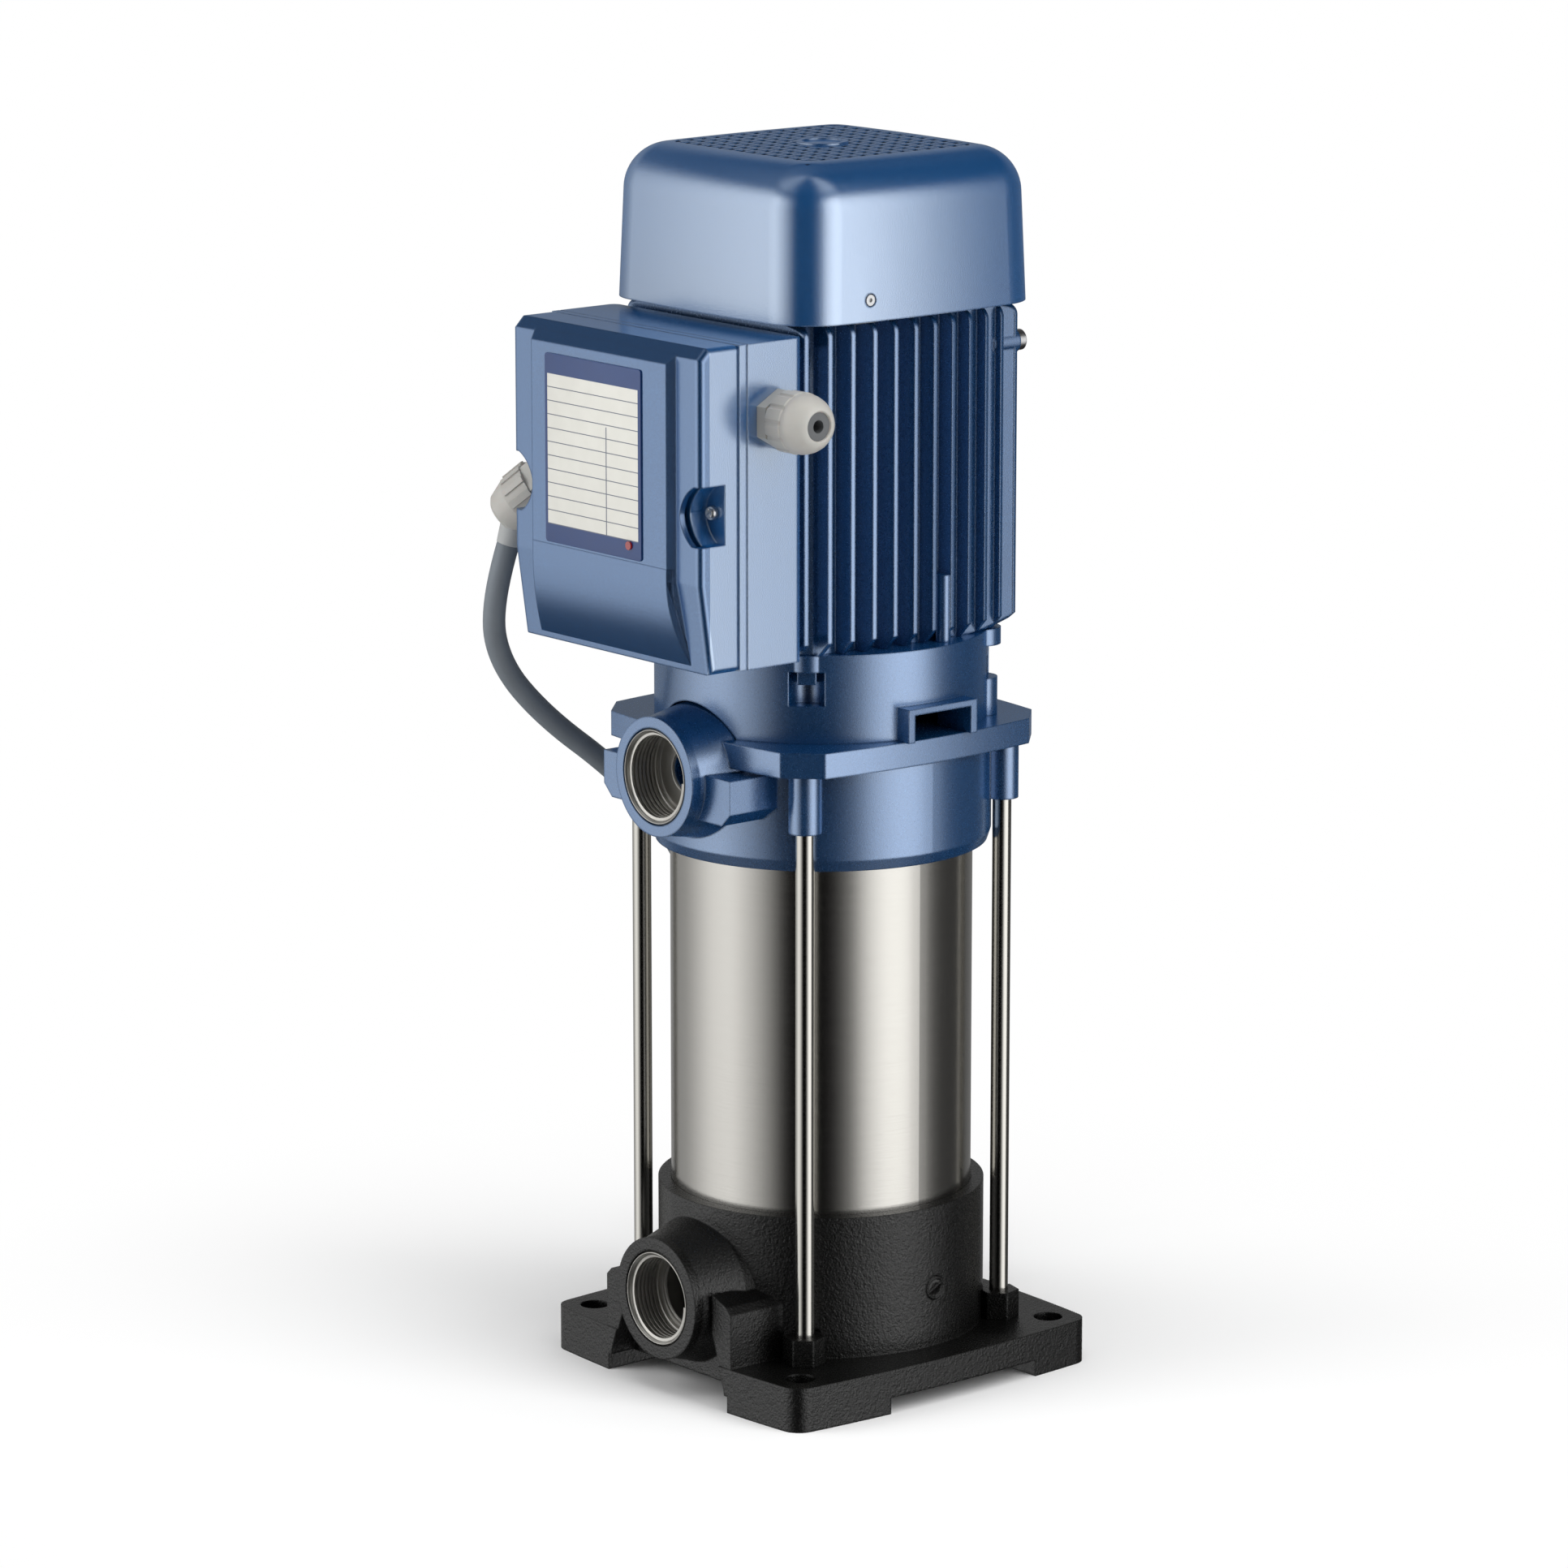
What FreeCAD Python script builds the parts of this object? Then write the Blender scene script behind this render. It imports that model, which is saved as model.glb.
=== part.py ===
import FreeCAD, Part
import math
import os
import Sketcher

# Vertical multistage electric pump: black base, steel barrel, blue discharge casing,
# lantern, finned motor, fan cover and terminal box. Millimetres, +Z up, the origin is
# in the middle of the base on the floor, and both ports look along -Y.

doc = FreeCAD.newDocument("electric_pump")
sheet = doc.addObject("Spreadsheet::Sheet", "sizes")

SIZES = {
    # base plate, cup and feet
    "plate_half": 91.8, "plate_side_r": 880, "plate_corner_r": 10, "plate_top": 21.5,
    "foot_rise": 8, "front_gap_half": 45, "side_gap_front": -37, "side_gap_rear": 55,
    "bolt_place": 78, "bolt_hole_r": 7, "cup_r": 78.5, "cup_top": 90.2,
    "chamber_r": 62, "chamber_floor": 30, "barrel_seat": 78,
    # lugs beside the suction neck, and the arch under it
    "lug_half": 47, "lug_front": 94.7, "lug_in": 33, "lug_top": 55, "lug_shoulder": 47.5,
    "lug_bevel_x": 43.5, "lug_bevel_z": 51, "arch_back": 82, "arch_mid_half": 42,
    "arch_mid_z": 12, "arch_top_z": 36,
    # threaded ports
    "port_face": 102, "port_lip": 5, "suction_z": 47.1, "discharge_z": 300.5,
    "suction_collar_r": 29.5, "discharge_collar_r": 28.5, "suction_root_r": 36,
    "discharge_root_r": 32.5, "neck_root": 76, "neck_end": 64, "ring_r": 23.2,
    "ring_bore_r": 19.475, "ring_depth": 20, "suction_way_r": 16.5, "discharge_way_r": 9.3,
    # drain plug on the right of the cup
    "drain_y": 5.4, "drain_z": 50, "drain_r": 6, "drain_out": 78.9, "drain_in": 66,
    "drain_slot": 1.6, "drain_slot_deep": 1.4,
    # tie rods and their nuts
    "rod_place": 61, "rod_r": 4.5, "rod_hole_r": 4.6, "rod_low": 12, "rod_high": 308,
    "nut_across_corners_r": 9.8, "nut_top": 35, "nut_relief_r": 10.4, "nut_relief_top": 36,
    # barrel
    "barrel_r": 72.2, "barrel_wall": 2.5, "barrel_high": 284, "fit_gap": 0.1,
    # discharge casing
    "skirt_r": 81, "skirt_low": 258.4, "skirt_chamfer_r": 79.3, "skirt_chamfer_z": 263.6,
    "flange_low": 307, "flange_top": 319, "flange_corner": 75.6, "flange_side_r": 406,
    "flange_corner_cut": 13, "boss_r": 7.8, "boss_low": 278.6, "upper_chamber_r": 60,
    "upper_chamber_top": 310.5, "seal_bore_r": 17, "seal_hub_r": 24, "seal_hub_low": 302,
    "upper_lug_low": 283, "upper_lug_high": 305, "upper_lug_bevel": 6,
    "web_out": 80, "web_thick": 3,
    # lantern between the pump and the motor
    "lantern_r": 79.5, "lantern_wall": 8, "lantern_top": 361, "lantern_plate_low": 352,
    "post_front": 49.8, "post_rear": 52.8, "post_r": 9, "post_lug_r": 10.5, "recess_place": 55.2,
    "recess_r": 8.4, "recess_low": 337, "recess_high": 353, "arch_gap": 0.5,
    "spout_out": 86, "spout_in": 62, "spout_front": -19, "spout_rear": 23,
    "spout_top": 335, "spout_wall": 3.75, "spout_roof": 3,
    "bearing_shoulder_r": 14, "bearing_shoulder_z": 360, "lantern_hub_r": 30,
    "screw_place": 52.5, "screw_head_r": 4.6, "screw_head": 6, "screw_r": 3, "screw_high": 371,
    # finned motor housing
    "housing_top": 516, "core_half": 60, "core_corner_r": 14, "bore_r": 56,
    "fin_half": 65, "fin_side_r": 216, "fin_thick": 2.3, "fin_edge": 64, "fin_reach": 76,
    "fin_low_chamfer": 7, "fin_top_r": 6, "seat_half": 58, "seat_face": 69,
    "seat_low": 370, "seat_high": 505, "pin_x": 70.5, "pin_y": 15, "pin_r": 3.5, "pin_top": 393,
    "earth_x": 60, "earth_z": 497, "earth_boss_r": 6, "earth_boss_out": 66.5,
    "earth_head_r": 5, "earth_head_out": 71, "earth_r": 2.5, "earth_deep": 8,
    # motor inside
    "stator_in_r": 37, "stack_low": 392, "stack_high": 486, "winding_out_r": 53,
    "winding_in_r": 40, "winding_rise": 12, "rotor_gap": 0.5,
    "shield_gap": 0.2, "shield_low": 504, "shield_hub_r": 26, "shield_hub_low": 500,
    "tab_y": 34.6, "tab_half": 6, "tab_in": 67, "tab_out": 72.6, "tab_foot_in": 48,
    "tab_foot": 3, "tab_top": 535,
    # bearings and shafts
    "motor_shaft_r": 10, "rear_shaft_r": 8.5, "pump_shaft_r": 8, "pump_shaft_low": 84,
    "shaft_joint_z": 336, "shaft_step_z": 500, "motor_shaft_top": 550,
    "lower_race_out_r": 23.5, "lower_race_mid_r": 16.5, "lower_race_high": 374,
    "upper_race_out_r": 20, "upper_race_mid_r": 14, "upper_race_low": 502,
    "upper_race_high": 514, "race_gap": 0.3, "shaft_hole_gap": 1,
    "coupling_r": 20, "coupling_low": 322, "coupling_high": 350, "coupling_slot": 3,
    # mechanical seal
    "seat_in_r": 9, "seat_low_z": 309, "face_ring_r": 14, "face_ring_low": 297,
    "face_gap": 0.3,
    # pump stages
    "stage_wall": 2.5, "stage_gap": 0.3, "stage_plate_up": 38, "stage_plate": 3,
    "stage_plate_r": 60, "stage_hole_r": 15, "stage_vane": 4, "impeller_up": 12,
    "impeller_r": 52, "impeller_hub_r": 13, "impeller_eye_r": 24, "impeller_shroud": 2.5,
    "vane_share": 0.86, "impeller_tall": 22, "vane_thick": 3, "vane_lean": 35,
    # cooling fan and its cover
    "fan_hub_r": 15, "fan_low": 522, "fan_disc": 2.5, "fan_disc_r": 50, "fan_tall": 24,
    "fan_blade": 2, "cover_half": 72.9, "cover_side_r": 600, "cover_corner_r": 26,
    "cover_low": 517, "cover_top": 589.5, "cover_draft": 2, "cover_round": 22,
    "cover_wall": 2.5, "grille_half": 56, "grille_corner_r": 25, "grille_pitch": 8,
    "grille_open": 5.6, "grille_boss_r": 12.3, "grille_boss_up": 1, "grille_dish_r": 9.5,
    "grille_dish_deep": 0.8, "cover_screw_z": 527, "cover_screw_r": 1.6, "cover_screw_head_r": 2.6,
    "cover_screw_play": 0.5, "cover_screw_face": 74.6, "cover_screw_out": 76,
    "cover_screw_in": 66.5, "cover_socket_r": 0.9, "cover_socket_deep": 0.9,
    # terminal box
    "box_half": 69, "box_back": 69, "box_split": 106.7, "box_low": 362, "box_high": 512.5,
    "box_wall": 3.5, "box_corner_r": 4, "lid_deep": 23.3, "panel_out": 4, "lid_wall": 3,
    "lid_edge_r": 5, "panel_half": 57.3, "panel_face_half": 49.1, "panel_top": 508.5,
    "panel_bevel": 4.5, "panel_flank": 8, "sweep_top": 404, "lid_sweep": 6,
    "panel_sweep": 11, "lid_corner_r": 3,
    "seam": 1.2, "seam_deep": 1.5, "rim": 4.3, "rim_line": 0.6,
    "pocket_tip": 54.5, "pocket_z": 435.4, "pocket_half_tall": 13.8, "pocket_high_x": 65,
    "pocket_low_x": 63, "pocket_r": 18, "pocket_step": 8.3, "pocket_inset": 6, "pocket_liner": 3.2,
    "lid_screw_x": 60.5, "lid_screw_r": 2,
    "lid_screw_head_r": 3.7, "lid_screw_head": 3, "lid_screw_deep": 84, "lid_boss_r": 4.6,
    # plate and lamp on the lid, parts inside the box
    "label_low_x": -38.7, "label_high_x": 32.3, "label_low": 411, "label_high": 499.5,
    "label_thick": 0.8, "lamp_x": 24, "lamp_z": 417.5, "lamp_r": 2, "lamp_out": 1,
    "capacitor_r": 17, "capacitor_long": 88, "capacitor_z": 490, "clamp_wide": 12,
    "block_wide": 56, "block_deep": 17, "block_tall": 24, "block_z": 388, "block_slot": 5,
    "block_pitch": 16.8,
    # cable glands
    "gland_y": 84.3, "gland_z": 476.5, "gland_stub_r": 8, "gland_stub": 9,
    "gland_collar_r": 14, "gland_collar": 6, "gland_nut_r": 13.8, "gland_rib": 0.7,
    "gland_rib_wide": 3.4, "gland_nut": 13, "gland_dome": 11, "gland_mouth_r": 9,
    "gland_hole_r": 6.6, "gland_seal_r": 6.6, "gland_seal_in_r": 3, "gland_seal": 14,
    "left_y": 91, "left_z": 443.3, "left_boss_r": 11.5, "left_boss": 20, "left_boss_in": 9,
    "sleeve_start": 39, "sleeve_long": 21, "sleeve_r": 6.5, "sleeve_end_r": 5.7,
    # cable, coil and plug
    "cable_r": 5.45, "cable_tip": 31, "bend_share": 0.45, "coil_r": 57.2, "tail_long": 43,
    "plug_relief": 16, "plug_relief_r": 6.4, "plug_neck_r": 9, "plug_grip": 20,
    "plug_r": 16.35, "plug_head": 17, "plug_pin_r": 2.4, "plug_pin": 19,
    "plug_pin_place": 9.5, "plug_edge": 3, "plug_edge_long": 2,
}

for row, (alias, number) in enumerate(SIZES.items(), start=1):
    sheet.set("A%d" % row, alias)
    sheet.set("B%d" % row, str(number))
    sheet.setAlias("B%d" % row, alias)
doc.recompute()

STAGES = 4
FINS = 12
GRILLE_ROWS = 13
FAN_BLADES = 8
IMPELLER_VANES = 6
DIFFUSER_VANES = 6
GLAND_RIBS = 12
# each screw's side, as a turn about the axis, and which way it is off the middle of it
COVER_SCREWS = {"right": (0, -1), "left": (180, 1), "rear": (90, 0)}


class Size:
    """A length that keeps both its number and the sheet expression behind it."""

    def __init__(self, value, text):
        self.value = value
        self.text = text

    def __add__(self, other):
        other = as_size(other)
        return Size(self.value + other.value, "(%s + %s)" % (self.text, other.text))

    def __sub__(self, other):
        other = as_size(other)
        return Size(self.value - other.value, "(%s - %s)" % (self.text, other.text))

    def __mul__(self, other):
        other = as_size(other)
        return Size(self.value * other.value, "(%s * %s)" % (self.text, other.text))

    def __truediv__(self, other):
        other = as_size(other)
        return Size(self.value / other.value, "(%s / %s)" % (self.text, other.text))

    def __neg__(self):
        return Size(-self.value, "(0 - %s)" % self.text)


class Sheet:
    """Gives each aliased cell as a Size."""

    def __getattr__(self, alias):
        return Size(float(SIZES[alias]), "sizes." + alias)


def as_size(thing):
    if isinstance(thing, Size):
        return thing
    return Size(float(thing), repr(thing))


S = Sheet()
NODES = {}

# depths of the lid, which follow its seam
LID_FRONT = S.box_split + S.lid_deep
LID_PANEL = LID_FRONT + S.panel_out
POCKET_FLOOR = S.box_split + S.pocket_step

TURNS = {
    "z": FreeCAD.Rotation(),
    "y": FreeCAD.Rotation(FreeCAD.Vector(1, 0, 0), -90),
    "-y": FreeCAD.Rotation(FreeCAD.Vector(1, 0, 0), 90),
    "x": FreeCAD.Rotation(FreeCAD.Vector(0, 1, 0), 90),
    "-x": FreeCAD.Rotation(FreeCAD.Vector(0, 1, 0), -90),
}


# Helpers that make bound features

def bind(thing, prop, size):
    """Ties a property to the sheet."""
    thing.setExpression(prop, as_size(size).text)


def put(thing, at, turn="z", spin=0):
    """Places a feature: at is a point, bound where it has Sizes, turn sends its +Z along an axis."""
    rotation = TURNS[turn]
    if spin:
        rotation = FreeCAD.Rotation(FreeCAD.Vector(0, 0, 1), spin).multiply(rotation)
    base = FreeCAD.Vector(*[as_size(value).value for value in at])
    thing.Placement = FreeCAD.Placement(base, rotation)
    for axis, size in zip("xyz", at):
        if isinstance(size, Size):
            bind(thing, "Placement.Base." + axis, size)
    return thing


def cylinder(name, radius, height, at=(0, 0, 0), turn="z"):
    thing = doc.addObject("Part::Cylinder", name)
    bind(thing, "Radius", radius)
    bind(thing, "Height", height)
    return put(thing, at, turn)


def cone(name, low_r, high_r, height, at=(0, 0, 0), turn="z"):
    thing = doc.addObject("Part::Cone", name)
    bind(thing, "Radius1", low_r)
    bind(thing, "Radius2", high_r)
    bind(thing, "Height", height)
    return put(thing, at, turn)


def box(name, low, high, spin=0):
    """A box between two bound corners, spun about the part's own axis."""
    thing = doc.addObject("Part::Box", name)
    for prop, a, b in zip(("Length", "Width", "Height"), low, high):
        bind(thing, prop, as_size(b) - a)
    if spin == 0:
        return put(thing, low)
    corner = FreeCAD.Vector(*[as_size(v).value for v in low])
    turn = FreeCAD.Rotation(FreeCAD.Vector(0, 0, 1), spin)
    thing.Placement = FreeCAD.Placement(turn.multVec(corner), turn)
    return thing


def fuse(name, things):
    thing = doc.addObject("Part::MultiFuse", name)
    thing.Shapes = things
    thing.Refine = True
    return thing


def common(name, things):
    thing = doc.addObject("Part::MultiCommon", name)
    thing.Shapes = things
    thing.Refine = True
    return thing


def cut(name, base, tools):
    tool = tools[0]
    if len(tools) > 1:
        tool = fuse(name + "_tools", tools)
    thing = doc.addObject("Part::Cut", name)
    thing.Base = base
    thing.Tool = tool
    thing.Refine = True
    return thing


def arc_between(start, end, radius):
    """The arc from start to end that bulges to the right of the way, seen from above."""
    chord = end - start
    half = chord.Length / 2
    middle = (start + end) * 0.5
    right = FreeCAD.Vector(chord.y, -chord.x, 0).normalize()
    sagitta = radius - math.sqrt(radius * radius - half * half)
    return Part.Arc(start, middle + right * sagitta, end)


def sketch(body, role, name, points):
    """A closed outline. A point with a third value starts an arc of that radius."""
    drawing = body.newObject("Sketcher::SketchObject", name)
    plane = [f for f in body.Origin.OriginFeatures if f.Role == role][0]
    drawing.AttachmentSupport = (plane, [""])
    drawing.MapMode = "FlatFace"
    sizes = [[as_size(value) for value in point] for point in points]
    places = [FreeCAD.Vector(p[0].value, p[1].value, 0) for p in sizes]
    count = len(places)
    starts = []
    ends = []
    for index, size in enumerate(sizes):
        start = places[index]
        end = places[(index + 1) % count]
        if len(size) == 3:
            line = drawing.addGeometry(arc_between(start, end, size[2].value), False)
            number = drawing.addConstraint(Sketcher.Constraint("Radius", line, size[2].value))
            drawing.setExpression("Constraints[%d]" % number, size[2].text)
        else:
            line = drawing.addGeometry(Part.LineSegment(start, end), False)
        forward = (drawing.getPoint(line, 1) - start).Length < (drawing.getPoint(line, 1) - end).Length
        starts.append((line, 1 if forward else 2))
        ends.append((line, 2 if forward else 1))
    for index, size in enumerate(sizes):
        joint = starts[(index + 1) % count]
        drawing.addConstraint(Sketcher.Constraint("Coincident", *ends[index], *joint))
        for kind, value in (("DistanceX", size[0]), ("DistanceY", size[1])):
            rule = Sketcher.Constraint(kind, -1, 1, *starts[index], value.value)
            number = drawing.addConstraint(rule)
            drawing.setExpression("Constraints[%d]" % number, value.text)
    return drawing


def pad(name, role, points, length, at=(0, 0, 0)):
    """A body with one outline padded along its plane's normal."""
    body = doc.addObject("PartDesign::Body", name)
    drawing = sketch(body, role, name + "_outline", points)
    step = body.newObject("PartDesign::Pad", name + "_pad")
    step.Profile = drawing
    bind(step, "Length", length)
    body.Tip = step
    put(body, at)
    return body


def revolve(name, points, at=(0, 0, 0), turn="z"):
    """A body turned about its own Z axis from an outline of (radius, height) points."""
    body = doc.addObject("PartDesign::Body", name)
    drawing = sketch(body, "XZ_Plane", name + "_outline", points)
    step = body.newObject("PartDesign::Revolution", name + "_turn")
    step.Profile = drawing
    step.ReferenceAxis = (drawing, ["V_Axis"])
    step.Angle = 360
    body.Tip = step
    put(body, at, turn)
    return body


def dress(body, kind, name, size, wanted):
    """Adds a fillet or chamfer on the edges of the body's tip that wanted() picks."""
    doc.recompute()
    base = body.Tip
    edges = ["Edge%d" % (i + 1) for i, edge in enumerate(base.Shape.Edges) if wanted(edge)]
    step = body.newObject("PartDesign::" + kind, name)
    step.Base = (base, edges)
    bind(step, "Radius" if kind == "Fillet" else "Size", size)
    body.Tip = step
    return body


def upright(edge):
    box_of = edge.BoundBox
    return box_of.XLength < 0.01 and box_of.YLength < 0.01


def leaning(edge):
    """A straight edge that rises, upright or drafted."""
    box_of = edge.BoundBox
    return box_of.ZLength > 1 and max(box_of.XLength, box_of.YLength) < box_of.ZLength


def level_at(height):
    def wanted(edge):
        box_of = edge.BoundBox
        return abs(box_of.ZMin - height) < 0.01 and abs(box_of.ZMax - height) < 0.01
    return wanted


def bulged_square(half, side_r):
    """Four corners joined by arcs that bulge outwards."""
    return [(-half, -half, side_r), (half, -half, side_r), (half, half, side_r),
            (-half, half, side_r)]


def rounded(points):
    """Marks an outline of plain points, each value as a Size."""
    return [tuple(as_size(value) for value in point) for point in points]


def corners(place):
    return [(place, place), (-place, place), (-place, -place), (place, -place)]


def node(name, thing):
    """Names a finished sub-part, and with it its file."""
    thing.Label = name
    NODES[name] = thing
    return thing


# Base, ports and drain plug

def port_neck(name, height, collar_r, root_r):
    """The cast neck that carries a threaded ring, flared towards the casing."""
    collar_back = S.port_face - S.port_lip
    collar = cylinder(name + "_collar", collar_r, S.port_lip, (0, -S.port_face, height), "y")
    flare = cone(name + "_flare", collar_r, root_r, collar_back - S.neck_root,
                 (0, -collar_back, height), "y")
    root = cylinder(name + "_root", root_r, S.neck_root - S.neck_end,
                    (0, -S.neck_root, height), "y")
    return fuse(name, [collar, flare, root])


def port_cuts(name, height, way_r, way_end):
    """The socket of the threaded ring and the water way behind it."""
    socket = cylinder(name + "_socket", S.ring_r, S.ring_depth + 1,
                      (0, -S.port_face - 1, height), "y")
    way = cylinder(name + "_way", way_r, S.port_face - way_end, (0, -S.port_face, height), "y")
    return [socket, way]


def port_ring(name, height):
    """The steel ring with the pipe thread."""
    blank = cylinder(name + "_blank", S.ring_r, S.ring_depth, (0, -S.port_face, height), "y")
    bore = cylinder(name + "_bore", S.ring_bore_r, S.ring_depth + 2,
                    (0, -S.port_face - 1, height), "y")
    node(name, cut(name, blank, [bore]))


def suction_lugs():
    """The two lugs beside the suction port, open in an arch between them."""
    outline = rounded([
        (-S.lug_half, S.foot_rise), (S.lug_half, S.foot_rise), (S.lug_half, S.lug_shoulder),
        (S.lug_bevel_x, S.lug_bevel_z), (S.lug_in, S.lug_top), (-S.lug_in, S.lug_top),
        (-S.lug_bevel_x, S.lug_bevel_z), (-S.lug_half, S.lug_shoulder)])
    return pad("suction_lugs", "XZ_Plane", outline, S.lug_front - S.neck_end + 10,
               (0, -S.neck_end + 10, 0))


def arch_cut():
    """The arch under the suction port, wider towards the floor."""
    outline = rounded([
        (-S.front_gap_half, -1), (S.front_gap_half, -1), (S.arch_mid_half, S.arch_mid_z),
        (S.lug_in, S.arch_top_z), (S.lug_in, S.lug_top + 1), (-S.lug_in, S.lug_top + 1),
        (-S.lug_in, S.arch_top_z), (-S.arch_mid_half, S.arch_mid_z)])
    return pad("arch_cut", "XZ_Plane", outline, S.port_face - S.arch_back,
               (0, -S.arch_back, 0))


def base_casting():
    plate = pad("base_plate", "XY_Plane", bulged_square(S.plate_half, S.plate_side_r),
                S.plate_top)
    dress(plate, "Fillet", "base_plate_corners", S.plate_corner_r, upright)
    cup = cylinder("cup", S.cup_r, S.cup_top)
    solid = fuse("base_solid", [plate, cup, suction_lugs()])
    opened = cut("base_opened", solid, [arch_cut()])
    neck = port_neck("suction_neck", S.suction_z, S.suction_collar_r, S.suction_root_r)
    whole = fuse("base_whole", [opened, neck])
    reach = S.plate_half + 10
    tools = [
        box("front_channel", (-S.front_gap_half, -reach, -1),
            (S.front_gap_half, reach, S.foot_rise)),
        box("side_channel", (-reach, S.side_gap_front, -1),
            (reach, S.side_gap_rear, S.foot_rise)),
        cylinder("suction_chamber", S.chamber_r, S.cup_top, (0, 0, S.chamber_floor)),
        cylinder("barrel_socket", S.barrel_r + S.fit_gap, S.cup_top, (0, 0, S.barrel_seat)),
        cylinder("drain_hole", S.drain_r, S.cup_r - S.drain_in + 2,
                 (S.drain_in, S.drain_y, S.drain_z), "x")]
    tools += port_cuts("suction", S.suction_z, S.suction_way_r, S.chamber_r - 10)
    for index, (x, y) in enumerate(corners(S.bolt_place)):
        tools.append(cylinder("bolt_hole_%d" % index, S.bolt_hole_r, S.plate_top + 2, (x, y, -1)))
    for index, (x, y) in enumerate(corners(S.rod_place)):
        tools.append(cylinder("base_rod_hole_%d" % index, S.rod_hole_r, S.cup_top,
                              (x, y, S.rod_low)))
        tools.append(cylinder("nut_relief_%d" % index, S.nut_relief_r,
                              S.nut_relief_top - S.plate_top, (x, y, S.plate_top)))
    node("base_casting", cut("base_casting", whole, tools))


def drain_plug():
    blank = cylinder("drain_blank", S.drain_r, S.drain_out - S.drain_in,
                     (S.drain_in, S.drain_y, S.drain_z), "x")
    slot = box("drain_slot_cut",
               (S.drain_out - S.drain_slot_deep, S.drain_y - S.drain_r - 1,
                S.drain_z - S.drain_slot / 2),
               (S.drain_out + 1, S.drain_y + S.drain_r + 1, S.drain_z + S.drain_slot / 2))
    node("drain_plug", cut("drain_plug", blank, [slot]))


# Barrel and tie rods

def barrel():
    inner = S.barrel_r - S.barrel_wall
    node("barrel", revolve("barrel", [
        (inner, S.barrel_seat), (S.barrel_r, S.barrel_seat), (S.barrel_r, S.barrel_high),
        (inner, S.barrel_high)]))


def tie_rods():
    for index, (x, y) in enumerate(corners(S.rod_place), start=1):
        rod = cylinder("tie_rod_%d" % index, S.rod_r, S.rod_high - S.rod_low, (x, y, S.rod_low))
        node("tie_rod_%d" % index, rod)
        blank = doc.addObject("Part::Prism", "nut_blank_%d" % index)
        blank.Polygon = 6
        bind(blank, "Circumradius", S.nut_across_corners_r)
        bind(blank, "Height", S.nut_top - S.plate_top)
        put(blank, (x, y, S.plate_top), spin=45)
        hole = cylinder("nut_hole_%d" % index, S.rod_r, S.nut_top, (x, y, S.plate_top - 1))
        node("tie_rod_nut_%d" % index, cut("tie_rod_nut_%d" % index, blank, [hole]))


# Discharge casing and lantern

def discharge_casing():
    socket_r = S.barrel_r + S.fit_gap
    skirt = revolve("skirt", [
        (socket_r, S.skirt_low), (S.skirt_chamfer_r, S.skirt_low), (S.skirt_r, S.skirt_chamfer_z),
        (S.skirt_r, S.flange_top), (S.seal_bore_r, S.flange_top), (S.seal_bore_r, S.seal_hub_low),
        (S.seal_hub_r, S.seal_hub_low), (S.seal_hub_r, S.upper_chamber_top),
        (S.upper_chamber_r, S.upper_chamber_top), (S.upper_chamber_r, S.barrel_high),
        (socket_r, S.barrel_high)])
    flange = pad("flange", "XY_Plane", bulged_square(S.flange_corner, S.flange_side_r),
                 S.flange_top - S.flange_low, (0, 0, S.flange_low))
    dress(flange, "Chamfer", "flange_corners", S.flange_corner_cut, upright)
    flange_open = cut("flange_open", flange, [
        cylinder("flange_opening", S.skirt_r - 1, S.flange_top, (0, 0, S.flange_low - 1))])
    pieces = [skirt, flange_open]
    bevel = S.lug_half - S.upper_lug_bevel
    lug_outline = rounded([
        (-bevel, S.upper_lug_low), (bevel, S.upper_lug_low),
        (S.lug_half, S.upper_lug_low + S.upper_lug_bevel), (S.lug_half, S.upper_lug_high),
        (-S.lug_half, S.upper_lug_high), (-S.lug_half, S.upper_lug_low + S.upper_lug_bevel)])
    lugs = pad("discharge_lugs", "XZ_Plane", lug_outline, S.lug_front - S.neck_end,
               (0, -S.neck_end, 0))
    pieces.append(lugs)
    pieces.append(port_neck("discharge_neck", S.discharge_z, S.discharge_collar_r,
                            S.discharge_root_r))
    for index, (x, y) in enumerate(corners(S.rod_place)):
        pieces.append(cylinder("rod_boss_%d" % index, S.boss_r, S.flange_low - S.boss_low + 1,
                               (x, y, S.boss_low)))
        web = box("rod_web_%d" % index, (S.skirt_r - 3, -S.web_thick / 2, S.boss_low + 6),
                  (S.web_out + 13, S.web_thick / 2, S.flange_low + 1), 45 + 90 * index)
        pieces.append(web)
    whole = fuse("discharge_whole", pieces)
    tools = [
        cylinder("upper_socket", socket_r, S.barrel_high - S.skirt_low + 5,
                 (0, 0, S.skirt_low - 5)),
        cut("upper_chamber_tool", cylinder("upper_chamber", S.upper_chamber_r,
                                           S.upper_chamber_top - S.barrel_high + 1,
                                           (0, 0, S.barrel_high - 1)),
            [cylinder("hub_keep", S.seal_hub_r, S.flange_top, (0, 0, S.seal_hub_low))])]
    tools += port_cuts("discharge", S.discharge_z, S.discharge_way_r, S.upper_chamber_r - 5)
    for index, (x, y) in enumerate(corners(S.rod_place)):
        tools.append(cylinder("casing_rod_hole_%d" % index, S.rod_hole_r,
                              S.rod_high - S.boss_low + 2, (x, y, S.boss_low - 1)))
    node("discharge_casing", cut("discharge_casing", whole, tools))


def post_places():
    """The rear posts stand proud of the lantern wall and the front ones are flush with it."""
    return [(S.post_rear, S.post_rear), (-S.post_rear, S.post_rear),
            (-S.post_front, -S.post_front), (S.post_front, -S.post_front)]


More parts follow.
